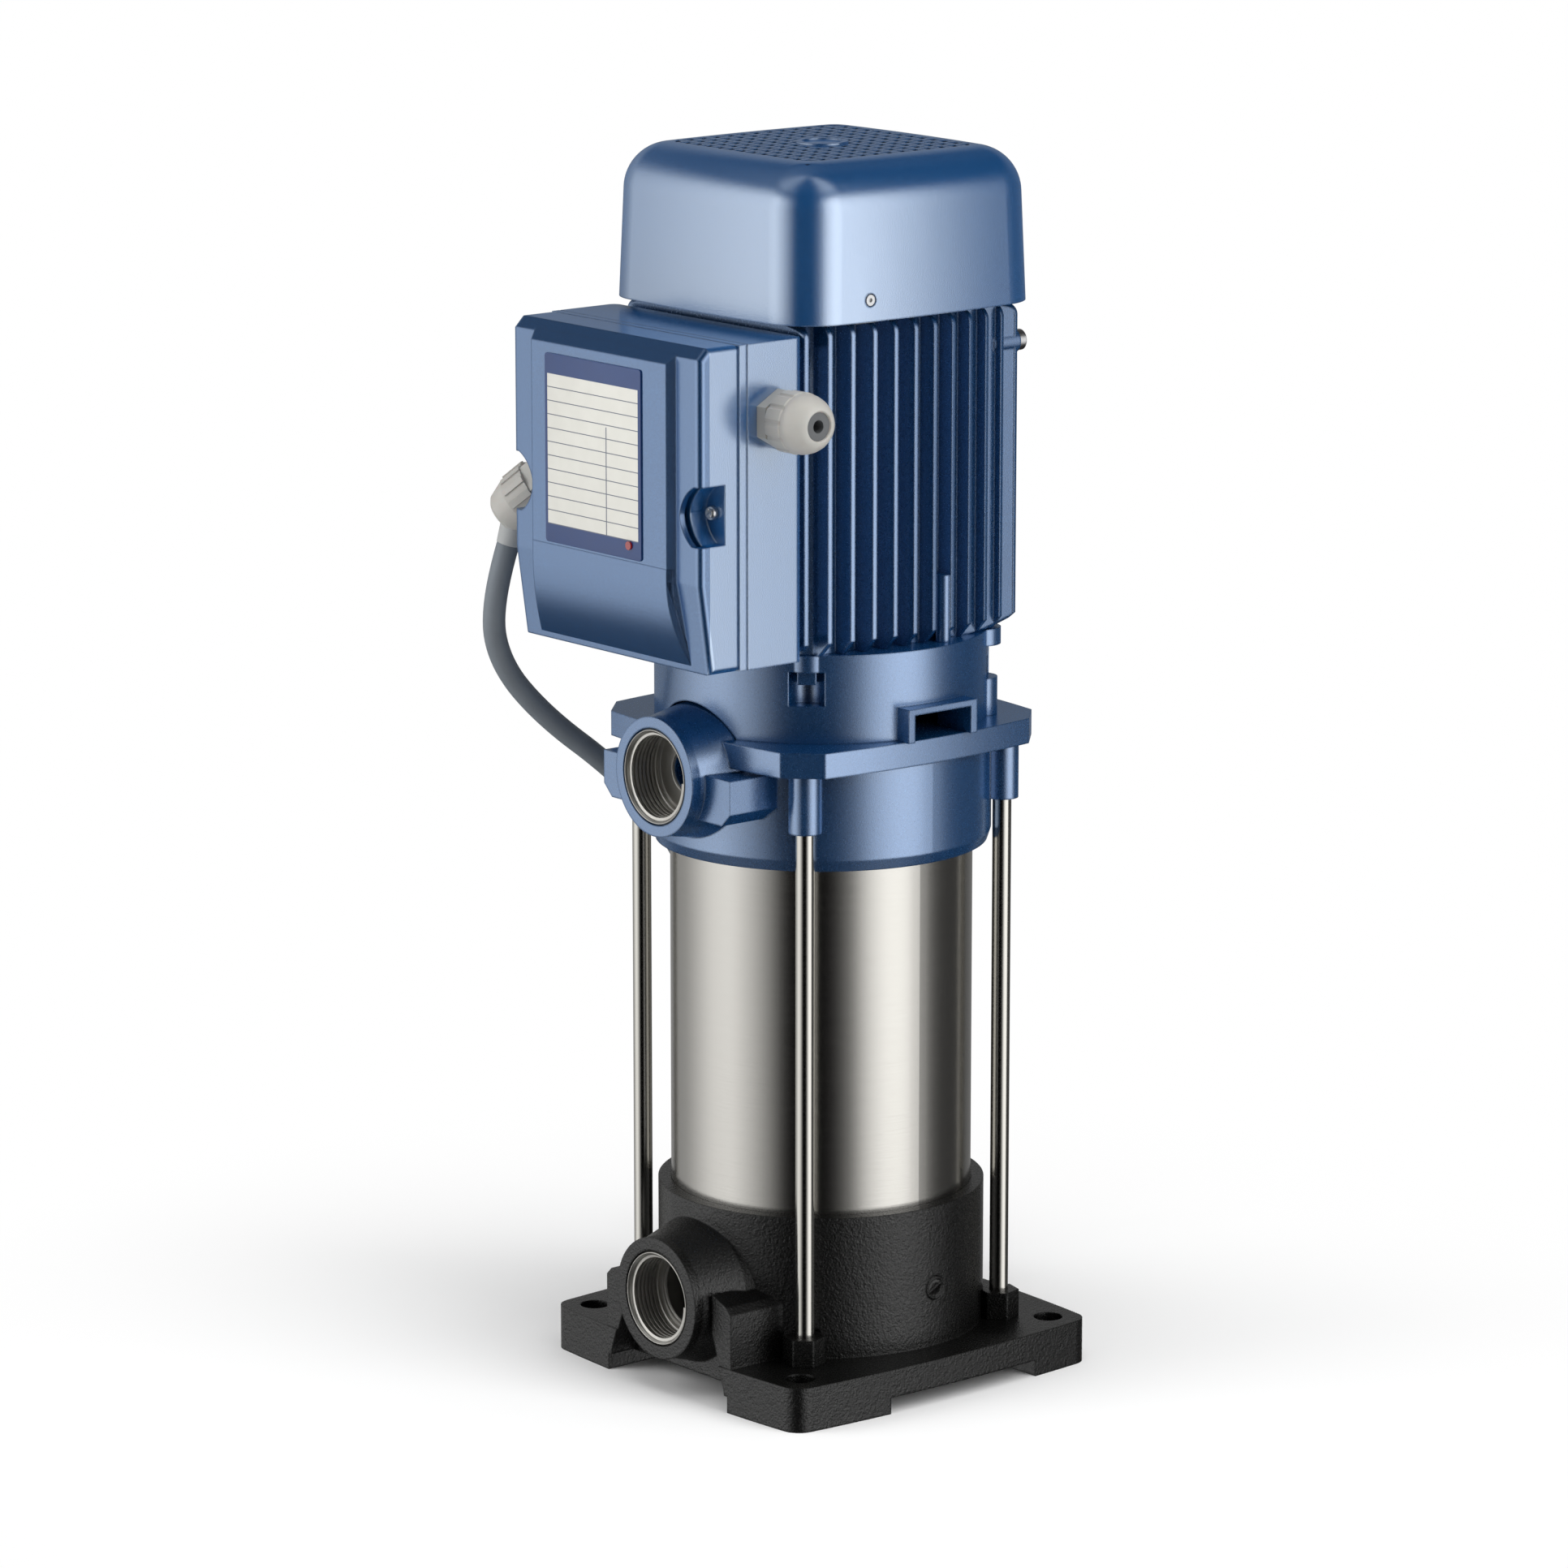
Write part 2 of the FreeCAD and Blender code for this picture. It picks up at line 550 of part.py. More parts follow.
def motor_bracket():
    inner = S.lantern_r - S.lantern_wall
    hub_r = S.lower_race_out_r
    shell = revolve("lantern_shell", [
        (inner, S.flange_top), (S.lantern_r, S.flange_top), (S.lantern_r, S.lantern_top),
        (S.lantern_hub_r, S.lantern_top), (S.lantern_hub_r, S.lower_race_high),
        (hub_r, S.lower_race_high), (hub_r, S.bearing_shoulder_z),
        (S.bearing_shoulder_r, S.bearing_shoulder_z), (S.bearing_shoulder_r, S.lantern_plate_low),
        (inner, S.lantern_plate_low)])
    pieces = [shell]
    for index, (x, y) in enumerate(post_places()):
        pieces.append(cylinder("post_%d" % index, S.post_r, S.lantern_top - S.flange_top,
                               (x, y, S.flange_top)))
        pieces.append(cylinder("post_lug_%d" % index, S.post_lug_r,
                               S.lantern_top - S.recess_high, (x, y, S.recess_high)))
    spout = box("spout", (S.spout_in, S.spout_front, S.flange_top),
                (S.spout_out, S.spout_rear, S.spout_top))
    pieces.append(spout)
    whole = fuse("lantern_whole", pieces)
    tools = [
        box("spout_opening",
            (S.spout_in - 10, S.spout_front + S.spout_wall, S.flange_top - 1),
            (S.spout_out + 1, S.spout_rear - S.spout_wall, S.spout_top - S.spout_roof)),
        cylinder("neck_arch", S.discharge_root_r + S.arch_gap, S.port_face - S.neck_end + 6,
                 (0, -S.port_face, S.discharge_z), "y")]
    for index, (x, y) in enumerate(corners(S.recess_place)):
        tools.append(cylinder("screw_recess_%d" % index, S.recess_r,
                              S.recess_high - S.recess_low, (x, y, S.recess_low)))
    for index, (x, y) in enumerate(corners(S.screw_place)):
        tools.append(cylinder("screw_way_%d" % index, S.screw_r, S.lantern_top, (x, y, S.recess_low)))
    node("motor_bracket", cut("motor_bracket", whole, tools))


def bracket_screws():
    """Four socket screws that hold the motor on the lantern."""
    pieces = []
    for index, (x, y) in enumerate(corners(S.screw_place)):
        head = cylinder("screw_head_%d" % index, S.screw_head_r, S.screw_head,
                        (x, y, S.recess_high - S.screw_head))
        shank = cylinder("screw_shank_%d" % index, S.screw_r, S.screw_high - S.recess_high,
                         (x, y, S.recess_high))
        pieces.append(fuse("screw_%d" % index, [head, shank]))
    whole = doc.addObject("Part::Compound", "bracket_screws")
    whole.Links = pieces
    node("bracket_screws", whole)


# Motor

def fin_place(index):
    return S.fin_edge * (2.0 * index / (FINS - 1) - 1)


def motor_housing():
    """A square core with straight fins on three sides, their tips on a bulged outline."""
    tall = S.housing_top - S.lantern_top
    core = pad("core", "XY_Plane", rounded(corners(S.core_half)[::-1]), tall,
               (0, 0, S.lantern_top))
    dress(core, "Fillet", "core_corners", S.core_corner_r, upright)
    fins = []
    for index in range(FINS):
        low = fin_place(index) - S.fin_thick / 2
        high = fin_place(index) + S.fin_thick / 2
        fins.append(box("side_fin_%d" % index, (-S.fin_reach, low, S.lantern_top),
                        (S.fin_reach, high, S.housing_top)))
        fins.append(box("rear_fin_%d" % index, (low, 0, S.lantern_top),
                        (high, S.fin_reach, S.housing_top)))
    tips = pad("fin_tips", "XY_Plane", bulged_square(S.fin_half, S.fin_side_r), tall,
               (0, 0, S.lantern_top))
    dress(tips, "Chamfer", "fin_low_chamfer_step", S.fin_low_chamfer, level_at(0))
    dress(tips, "Fillet", "fin_top_round", S.fin_top_r, level_at(tall.value))
    finned = common("finned", [fuse("fin_grid", fins), tips])
    seat = box("box_seat", (-S.seat_half, -S.seat_face, S.seat_low),
               (S.seat_half, -S.bore_r, S.seat_high))
    pin = cylinder("housing_pin", S.pin_r, S.pin_top - S.lantern_top,
                   (S.pin_x, S.pin_y, S.lantern_top))
    boss = cylinder("earth_boss", S.earth_boss_r, S.earth_boss_out - S.bore_r + 6,
                    (S.earth_x, S.bore_r - 6, S.earth_z), "y")
    whole = fuse("housing_whole", [core, finned, seat, pin, boss])
    tools = [
        cylinder("stator_bore", S.bore_r, tall + 2, (0, 0, S.lantern_top - 1)),
        cylinder("earth_hole", S.earth_r, S.earth_deep + 1,
                 (S.earth_x, S.earth_boss_out - S.earth_deep, S.earth_z), "y")]
    for index, (x, y) in enumerate(corners(S.screw_place)):
        tools.append(cylinder("housing_screw_hole_%d" % index, S.screw_r,
                              S.screw_high - S.lantern_top + 2, (x, y, S.lantern_top - 1)))
    node("motor_housing", cut("motor_housing", whole, tools))
    head = cylinder("earth_head", S.earth_head_r, S.earth_head_out - S.earth_boss_out,
                    (S.earth_x, S.earth_boss_out, S.earth_z), "y")
    shank = cylinder("earth_shank", S.earth_r, S.earth_deep,
                     (S.earth_x, S.earth_boss_out - S.earth_deep, S.earth_z), "y")
    node("earth_screw", fuse("earth_screw", [head, shank]))


def ring(name, inner_r, outer_r, low, high):
    return revolve(name, [(inner_r, low), (outer_r, low), (outer_r, high), (inner_r, high)])


def stator():
    node("stator_core", ring("stator_core", S.stator_in_r, S.bore_r, S.stack_low, S.stack_high))
    lower = ring("lower_winding", S.winding_in_r, S.winding_out_r,
                 S.stack_low - S.winding_rise, S.stack_low)
    upper = ring("upper_winding", S.winding_in_r, S.winding_out_r, S.stack_high,
                 S.stack_high + S.winding_rise)
    whole = doc.addObject("Part::Compound", "stator_windings")
    whole.Links = [lower, upper]
    node("stator_windings", whole)


def end_shield():
    """The upper bearing cover, with the tabs that carry the fan cover."""
    disc = revolve("shield_disc", [
        (S.rear_shaft_r + S.shaft_hole_gap, S.upper_race_high),
        (S.upper_race_out_r, S.upper_race_high), (S.upper_race_out_r, S.shield_hub_low),
        (S.shield_hub_r, S.shield_hub_low), (S.shield_hub_r, S.shield_low),
        (S.bore_r - S.shield_gap, S.shield_low), (S.bore_r - S.shield_gap, S.housing_top),
        (S.rear_shaft_r + S.shaft_hole_gap, S.housing_top)])
    pieces = [disc]
    holes = []
    for label, (angle, along) in COVER_SCREWS.items():
        left = S.tab_y * along - S.tab_half
        right = S.tab_y * along + S.tab_half
        pieces.append(box("tab_foot_" + label, (S.tab_foot_in, left, S.housing_top - 1),
                          (S.tab_out, right, S.housing_top + S.tab_foot), angle))
        pieces.append(box("tab_" + label, (S.tab_in, left, S.housing_top),
                          (S.tab_out, right, S.tab_top), angle))
        holes.append(stud("tab_hole_" + label, S.cover_screw_r, S.tab_foot_in, S.tab_out + 1,
                          angle, along))
    whole = fuse("shield_whole", pieces)
    under = cut("shield_trim", whole, [
        cut("shield_under", box("shield_block", (-S.fin_reach, -S.fin_reach, S.shield_hub_low - 1),
                                (S.fin_reach, S.fin_reach, S.housing_top)),
            [cylinder("shield_keep", S.bore_r - S.shield_gap, S.housing_top,
                      (0, 0, S.shield_hub_low - 2))])])
    node("end_shield", cut("end_shield", under, holes))


def stud(name, radius, inner, outer, angle, along):
    """A cylinder on the axis of one fan cover screw, between two distances from the middle."""
    thing = cylinder(name, radius, outer - inner)
    turn = FreeCAD.Rotation(FreeCAD.Vector(0, 0, 1), angle)
    start = FreeCAD.Vector(inner.value, S.tab_y.value * along, S.cover_screw_z.value)
    thing.Placement = FreeCAD.Placement(turn.multVec(start), turn.multiply(TURNS["x"]))
    return thing


def cover_form(name, half, corner_r, height, round_r):
    """The rounded square of the fan cover, drafted inwards and domed at its rim."""
    body = pad(name, "XY_Plane", bulged_square(half, S.cover_side_r), height,
               (0, 0, S.cover_low))
    bind(body.Tip, "TaperAngle", -S.cover_draft)
    dress(body, "Fillet", name + "_corners", corner_r, leaning)
    dress(body, "Fillet", name + "_rim", round_r, level_at(height.value))
    return body


def grille_cut():
    """Square holes in rows, kept inside a rounded square and off the middle boss."""
    across = []
    along = []
    reach = S.grille_half + 5
    low = S.cover_top - S.cover_wall - 2
    high = S.cover_top + 2
    for index in range(GRILLE_ROWS):
        place = S.grille_pitch * (index - (GRILLE_ROWS - 1) / 2)
        left = place - S.grille_open / 2
        right = place + S.grille_open / 2
        across.append(box("grille_row_%d" % index, (-reach, left, low), (reach, right, high)))
        along.append(box("grille_column_%d" % index, (left, -reach, low), (right, reach, high)))
    area = pad("grille_area", "XY_Plane", rounded(corners(S.grille_half)[::-1]),
               high - low, (0, 0, low))
    dress(area, "Fillet", "grille_area_corners", S.grille_corner_r, upright)
    open_area = cut("grille_open_area", area, [
        cylinder("grille_boss_keep", S.grille_boss_r, S.cover_top, (0, 0, low - 1))])
    rows = doc.addObject("Part::Compound", "grille_rows")
    rows.Links = across
    columns = doc.addObject("Part::Compound", "grille_columns")
    columns.Links = along
    return common("grille_holes", [common("grille_squares", [rows, columns]), open_area])


def fan_cover():
    tall = S.cover_top - S.cover_low
    outer = cover_form("cover_outer", S.cover_half, S.cover_corner_r, tall, S.cover_round)
    inner = cover_form("cover_inner", S.cover_half - S.cover_wall, S.cover_corner_r - S.cover_wall,
                       tall - S.cover_wall, S.cover_round - S.cover_wall)
    shell = cut("cover_shell", outer, [inner])
    boss = cylinder("grille_boss", S.grille_boss_r, S.cover_wall / 2 + S.grille_boss_up,
                    (0, 0, S.cover_top - S.cover_wall / 2))
    whole = fuse("cover_whole", [shell, boss])
    dish = cylinder("grille_dish", S.grille_dish_r, S.grille_boss_up + S.grille_dish_deep,
                    (0, 0, S.cover_top + S.grille_boss_up - S.grille_dish_deep))
    tools = [grille_cut(), dish]
    screws = []
    for label, (angle, along) in COVER_SCREWS.items():
        beyond = S.cover_screw_out + 5
        tools.append(stud("cover_hole_" + label, S.cover_screw_r, S.cover_screw_in, beyond,
                          angle, along))
        tools.append(stud("cover_seat_" + label, S.cover_screw_head_r + S.cover_screw_play,
                          S.cover_screw_face, beyond, angle, along))
        shank = stud("cover_shank_" + label, S.cover_screw_r, S.cover_screw_in,
                     S.cover_screw_face, angle, along)
        head = stud("cover_head_" + label, S.cover_screw_head_r, S.cover_screw_face,
                    S.cover_screw_out, angle, along)
        socket = stud("cover_socket_" + label, S.cover_socket_r,
                      S.cover_screw_out - S.cover_socket_deep, beyond, angle, along)
        screws.append(cut("cover_screw_" + label,
                          fuse("cover_screw_blank_" + label, [shank, head]), [socket]))
    node("fan_cover", cut("fan_cover", whole, tools))
    whole_set = doc.addObject("Part::Compound", "fan_cover_screws")
    whole_set.Links = screws
    node("fan_cover_screws", whole_set)


# Rotor

def bearings():
    node("lower_bearing_outer", ring("lower_bearing_outer", S.lower_race_mid_r + S.race_gap,
                                     S.lower_race_out_r, S.bearing_shoulder_z, S.lower_race_high))
    node("lower_bearing_inner", ring("lower_bearing_inner", S.motor_shaft_r,
                                     S.lower_race_mid_r, S.bearing_shoulder_z + S.race_gap,
                                     S.lower_race_high))
    node("upper_bearing_outer", ring("upper_bearing_outer", S.upper_race_mid_r + S.race_gap,
                                     S.upper_race_out_r, S.upper_race_low, S.upper_race_high))
    node("upper_bearing_inner", ring("upper_bearing_inner", S.rear_shaft_r,
                                     S.upper_race_mid_r, S.upper_race_low,
                                     S.upper_race_high - S.race_gap))


def shafts():
    node("motor_shaft", revolve("motor_shaft", [
        (0, S.shaft_joint_z), (S.motor_shaft_r, S.shaft_joint_z),
        (S.motor_shaft_r, S.shaft_step_z), (S.rear_shaft_r, S.shaft_step_z),
        (S.rear_shaft_r, S.motor_shaft_top), (0, S.motor_shaft_top)]))
    node("rotor_core", ring("rotor_core", S.motor_shaft_r, S.stator_in_r - S.rotor_gap,
                            S.stack_low, S.stack_high))
    node("pump_shaft", cylinder("pump_shaft", S.pump_shaft_r, S.shaft_joint_z - S.pump_shaft_low,
                                (0, 0, S.pump_shaft_low)))
    sleeve = revolve("coupling_sleeve", [
        (S.pump_shaft_r, S.coupling_low), (S.coupling_r, S.coupling_low),
        (S.coupling_r, S.coupling_high), (S.motor_shaft_r, S.coupling_high),
        (S.motor_shaft_r, S.shaft_joint_z), (S.pump_shaft_r, S.shaft_joint_z)])
    slot = box("coupling_slot_cut", (-S.coupling_slot / 2, 0, S.coupling_low - 1),
               (S.coupling_slot / 2, S.coupling_r + 1, S.coupling_high + 1))
    node("coupling", cut("coupling", sleeve, [slot]))


def shaft_seal():
    node("seal_seat", ring("seal_seat", S.seat_in_r, S.seal_bore_r, S.seat_low_z, S.flange_top))
    node("seal_face_ring", ring("seal_face_ring", S.pump_shaft_r, S.face_ring_r,
                                S.face_ring_low, S.seat_low_z - S.face_gap))


def cooling_fan():
    pieces = [ring("fan_hub", S.rear_shaft_r, S.fan_hub_r, S.fan_low, S.fan_low + S.fan_tall),
              ring("fan_plate", S.fan_hub_r - 2, S.fan_disc_r, S.fan_low, S.fan_low + S.fan_disc)]
    for index in range(FAN_BLADES):
        pieces.append(box("fan_blade_%d" % index, (S.fan_hub_r - 2, -S.fan_blade / 2, S.fan_low),
                          (S.fan_disc_r, S.fan_blade / 2, S.fan_low + S.fan_tall - 2),
                          360.0 * index / FAN_BLADES))
    node("cooling_fan", fuse("cooling_fan", pieces))


def stage(index):
    """One pump stage: a diffuser cell in the barrel and its impeller on the shaft."""
    pitch = (S.barrel_high - S.barrel_seat) / STAGES
    floor = S.barrel_seat + pitch * index
    outer = S.barrel_r - S.barrel_wall - S.stage_gap
    inner = outer - S.stage_wall
    plate = floor + S.stage_plate_up
    label = str(index + 1)
    cell = ring("cell_%s" % label, inner, outer, floor, floor + pitch)
    disc = ring("cell_disc_%s" % label, S.stage_hole_r, S.stage_plate_r, plate,
                plate + S.stage_plate)
    pieces = [cell, disc]
    for vane in range(DIFFUSER_VANES):
        pieces.append(box("cell_vane_%s_%d" % (label, vane),
                          (S.stage_plate_r - 12, -S.stage_vane / 2, plate),
                          (inner + S.stage_wall / 2, S.stage_vane / 2, plate + S.stage_plate + 6),
                          360.0 * vane / DIFFUSER_VANES))
    node("diffuser_" + label, fuse("diffuser_" + label, pieces))

    low = floor + S.impeller_up
    high = low + S.impeller_tall
    hub = ring("impeller_hub_%s" % label, S.pump_shaft_r, S.impeller_hub_r, low, high)
    lower = ring("impeller_low_%s" % label, S.impeller_eye_r, S.impeller_r, low,
                 low + S.impeller_shroud)
    upper = ring("impeller_high_%s" % label, S.impeller_hub_r - 1, S.impeller_r,
                 high - S.impeller_shroud, high)
    pieces = [hub, lower, upper]
    for vane in range(IMPELLER_VANES):
        pieces.append(impeller_vane("impeller_vane_%s_%d" % (label, vane), low, high,
                                    360.0 * vane / IMPELLER_VANES))
    node("impeller_" + label, fuse("impeller_" + label, pieces))


def impeller_vane(name, low, high, angle):
    """A straight vane that leans back from the hub towards the rim."""
    vane = doc.addObject("Part::Box", name)
    bind(vane, "Length", (S.impeller_r - S.impeller_hub_r) * S.vane_share)
    bind(vane, "Width", S.vane_thick)
    bind(vane, "Height", high - low - S.impeller_shroud)
    turn = FreeCAD.Rotation(FreeCAD.Vector(0, 0, 1), angle)
    lean = FreeCAD.Rotation(FreeCAD.Vector(0, 0, 1), angle - S.vane_lean.value)
    start = turn.multVec(FreeCAD.Vector(S.impeller_hub_r.value - 1, 0, low.value + 1))
    vane.Placement = FreeCAD.Placement(start, lean)
    return vane


# Terminal box

def terminal_box_base():
    shell = pad("box_block", "XY_Plane", rounded([
        (-S.box_half, -S.box_split), (S.box_half, -S.box_split), (S.box_half, -S.box_back),
        (-S.box_half, -S.box_back)]), S.box_high - S.box_low, (0, 0, S.box_low))
    dress(shell, "Fillet", "box_block_corners", S.box_corner_r,
          lambda edge: upright(edge) and edge.BoundBox.YMin > -S.box_back.value - 1)
    wall = S.box_wall
    hollow = box("box_hollow", (-S.box_half + wall, -S.box_split - 1, S.box_low + wall),
                 (S.box_half - wall, -S.box_back - wall, S.box_high - wall))
    tray = cut("box_tray", shell, [hollow])
    pieces = [tray]
    for side in (-1, 1):
        pieces.append(cylinder("box_screw_boss_%s" % ("left" if side < 0 else "right"),
                               S.lid_boss_r, S.box_split - S.box_back - wall / 2,
                               (S.lid_screw_x * side, -S.box_split, S.pocket_z), "y"))
    boss = cylinder("left_entry_boss", S.left_boss_r, S.left_boss + S.left_boss_in)
    boss.Placement = left_entry(-S.left_boss_in.value)
    pieces.append(boss)
    whole = fuse("box_whole", pieces)
    entry = cylinder("left_entry_hole", S.gland_stub_r, S.left_boss + S.left_boss_in + 12)
    entry.Placement = left_entry(-S.left_boss_in.value - 6)
    tools = [entry, cylinder("right_entry_hole", S.gland_stub_r, wall + 10,
                             (S.box_half - wall - 5, -S.gland_y, S.gland_z), "x"),
             seam_tool("rim_line", S.box_split - S.rim, S.box_split - S.rim - S.rim_line,
                       S.rim_line)]
    for side in (-1, 1):
        tools.append(cylinder("box_screw_hole_%s" % ("left" if side < 0 else "right"),
                              S.lid_screw_r, S.box_split - S.lid_screw_deep + 1,
                              (S.lid_screw_x * side, -S.box_split - 1, S.pocket_z), "y"))
    node("terminal_box_base", cut("terminal_box_base", whole, tools))


def lid_outline(front, top, bevel, sweep, back):
    """The side view of a lid face: bevelled at the top, swept back at its foot."""
    return rounded([
        (-back, S.box_low), (-back, top), (-front + bevel, top), (-front, top - bevel),
        (-front, S.sweep_top), (-front + sweep, S.box_low)])


def seam_tool(name, front, back, deep):
    """A groove that runs round the box between two depths."""
    block = box(name + "_block", (-S.box_half - 1, -front, S.box_low - 1),
                (S.box_half + 1, -back, S.box_high + 1))
    keep = box(name + "_keep", (-S.box_half + deep, -front - 1, S.box_low + deep),
               (S.box_half - deep, -back + 1, S.box_high - deep))
    return cut(name, block, [keep])


def lid_solid(name, inset):
    """The lid body with its raised panel, or its hollow where it is inset."""
    shoulder = pad(name + "_shoulder", "YZ_Plane",
                   lid_outline(LID_FRONT - inset, S.box_high - inset, S.lid_edge_r,
                               S.lid_sweep, S.box_split),
                   S.box_half * 2 - inset * 2, (-S.box_half + inset, 0, 0))
    if inset.value == 0:
        dress(shoulder, "Fillet", name + "_edges", S.lid_corner_r, lid_side_edge)
    raised = pad(name + "_raised", "YZ_Plane",
                 lid_outline(LID_PANEL - inset, S.panel_top - inset, S.panel_bevel,
                             S.panel_sweep, S.box_split + 2),
                 S.panel_half * 2, (-S.panel_half, 0, 0))
    plan = pad(name + "_plan", "XY_Plane", rounded([
        (-S.panel_half + inset, -S.box_split), (-S.panel_half + inset, -LID_FRONT + S.panel_flank),
        (-S.panel_face_half + inset, -LID_PANEL - 1), (S.panel_face_half - inset, -LID_PANEL - 1),
        (S.panel_half - inset, -LID_FRONT + S.panel_flank), (S.panel_half - inset, -S.box_split)][::-1]),
        S.box_high - S.box_low, (0, 0, S.box_low))
    return fuse(name, [shoulder, common(name + "_panel", [raised, plan])])


def lid_side_edge(edge):
    """An edge of the lid's end faces, apart from the one on the seam."""
    box_of = edge.BoundBox
    flat = box_of.XLength < 0.01
    return flat and not (upright(edge) and abs(box_of.YMin + S.box_split.value) < 0.01)


def pocket(name):
    """The right screw pocket of the lid: a pointed scallop open to the side."""
    low = S.pocket_z - S.pocket_half_tall
    high = S.pocket_z + S.pocket_half_tall
    outline = rounded([
        (S.pocket_tip, S.pocket_z, S.pocket_r), (S.pocket_low_x, low), (S.box_half + 1, low),
        (S.box_half + 1, high), (S.pocket_high_x, high, S.pocket_r)])
    return pad(name, "XZ_Plane", outline, LID_PANEL + 1 - POCKET_FLOOR,
               (0, -POCKET_FLOOR, 0))


def mirrored(name, thing):
    """The same shape on the other side of the middle."""
    other = doc.addObject("Part::Mirroring", name)
    other.Source = thing
    other.Normal = FreeCAD.Vector(1, 0, 0)
    return other


def terminal_box_cover():
    outer = lid_solid("lid_outer", as_size(0))
    inner = lid_solid("lid_inner", S.lid_wall)
    low_trim = box("lid_floor_keep", (-S.box_half, -LID_PANEL, S.box_low),
                   (S.box_half, -S.box_split, S.box_low + S.lid_wall))
    shell = cut("lid_shell", outer, [cut("lid_hollow", inner, [low_trim])])
    pieces = [shell]
    right_pocket = pocket("pocket_right")
    tools = [right_pocket, mirrored("pocket_left", right_pocket),
             seam_tool("lid_seam", S.box_split + S.seam, S.box_split, S.seam_deep)]
    for side in (-1, 1):
        label = "left" if side < 0 else "right"
        tall = S.pocket_half_tall + S.pocket_liner
        edges = sorted([S.box_half * side - side, (S.pocket_tip - S.pocket_liner) * side],
                       key=lambda size: size.value)
        pieces.append(box("pocket_block_" + label,
                          (edges[0], -LID_FRONT + S.pocket_inset, S.pocket_z - tall),
                          (edges[1], -S.box_split, S.pocket_z + tall)))
        tools.append(cylinder("lid_screw_hole_" + label, S.lid_screw_r, LID_FRONT,
                              (S.lid_screw_x * side, -LID_FRONT, S.pocket_z), "y"))
        head = cylinder("lid_head_" + label, S.lid_screw_head_r, S.lid_screw_head,
                        (S.lid_screw_x * side, -POCKET_FLOOR - S.lid_screw_head, S.pocket_z), "y")
        shank = cylinder("lid_shank_" + label, S.lid_screw_r, POCKET_FLOOR - S.lid_screw_deep,
                         (S.lid_screw_x * side, -POCKET_FLOOR, S.pocket_z), "y")
        node("lid_screw_" + label, fuse("lid_screw_" + label, [head, shank]))
    whole = fuse("lid_whole", pieces)
    node("terminal_box_cover", cut("terminal_box_cover", whole, tools))


def box_contents():
    label_front = LID_PANEL + S.label_thick
    label = box("rating_label", (S.label_low_x, -label_front, S.label_low),
                (S.label_high_x, -LID_PANEL, S.label_high))
    node("rating_label", label)
    node("indicator_lamp", cylinder("indicator_lamp", S.lamp_r, S.lamp_out,
                                    (S.lamp_x, -label_front - S.lamp_out, S.lamp_z), "y"))
    back = S.box_back + S.box_wall
    can = cylinder("capacitor_can", S.capacitor_r, S.capacitor_long,
                   (-S.capacitor_long / 2, -back - S.capacitor_r - 1, S.capacitor_z), "x")
    foot = box("capacitor_foot", (-S.clamp_wide / 2, -back - S.capacitor_r, S.capacitor_z - 8),
               (S.clamp_wide / 2, -back, S.capacitor_z + 8))
    node("capacitor", fuse("capacitor", [can, foot]))
    block = box("block_blank", (-S.block_wide / 2, -back - S.block_deep, S.block_z),
                (S.block_wide / 2, -back, S.block_z + S.block_tall))
    slots = []
    for index in range(3):
        middle = S.block_pitch * (index - 1)
        slots.append(box("block_slot_%d" % index,
                         (middle - S.block_slot, -back - S.block_deep - 1, S.block_z + 5),
                         (middle + S.block_slot, -back - S.block_deep + S.block_slot,
                          S.block_z + S.block_tall - 5)))
    node("terminal_block", cut("terminal_block", block, slots))


# Cable glands, on axes that leave the box

LEFT_WAY = FreeCAD.Vector(-0.66, -0.40, -0.636).normalize()
CABLE_WAY = FreeCAD.Vector(-0.20, -0.20, -0.959).normalize()


def left_entry(distance):
    """A place on the axis of the tilted left entry, distance out from the wall."""
    wall = FreeCAD.Vector(-S.box_half.value, -S.left_y.value, S.left_z.value)
    turn = FreeCAD.Rotation(FreeCAD.Vector(0, 0, 1), LEFT_WAY)
    return FreeCAD.Placement(wall + LEFT_WAY * distance, turn)


def right_entry():
    wall = FreeCAD.Vector(S.box_half.value, -S.gland_y.value, S.gland_z.value)
    return FreeCAD.Placement(wall, TURNS["x"])


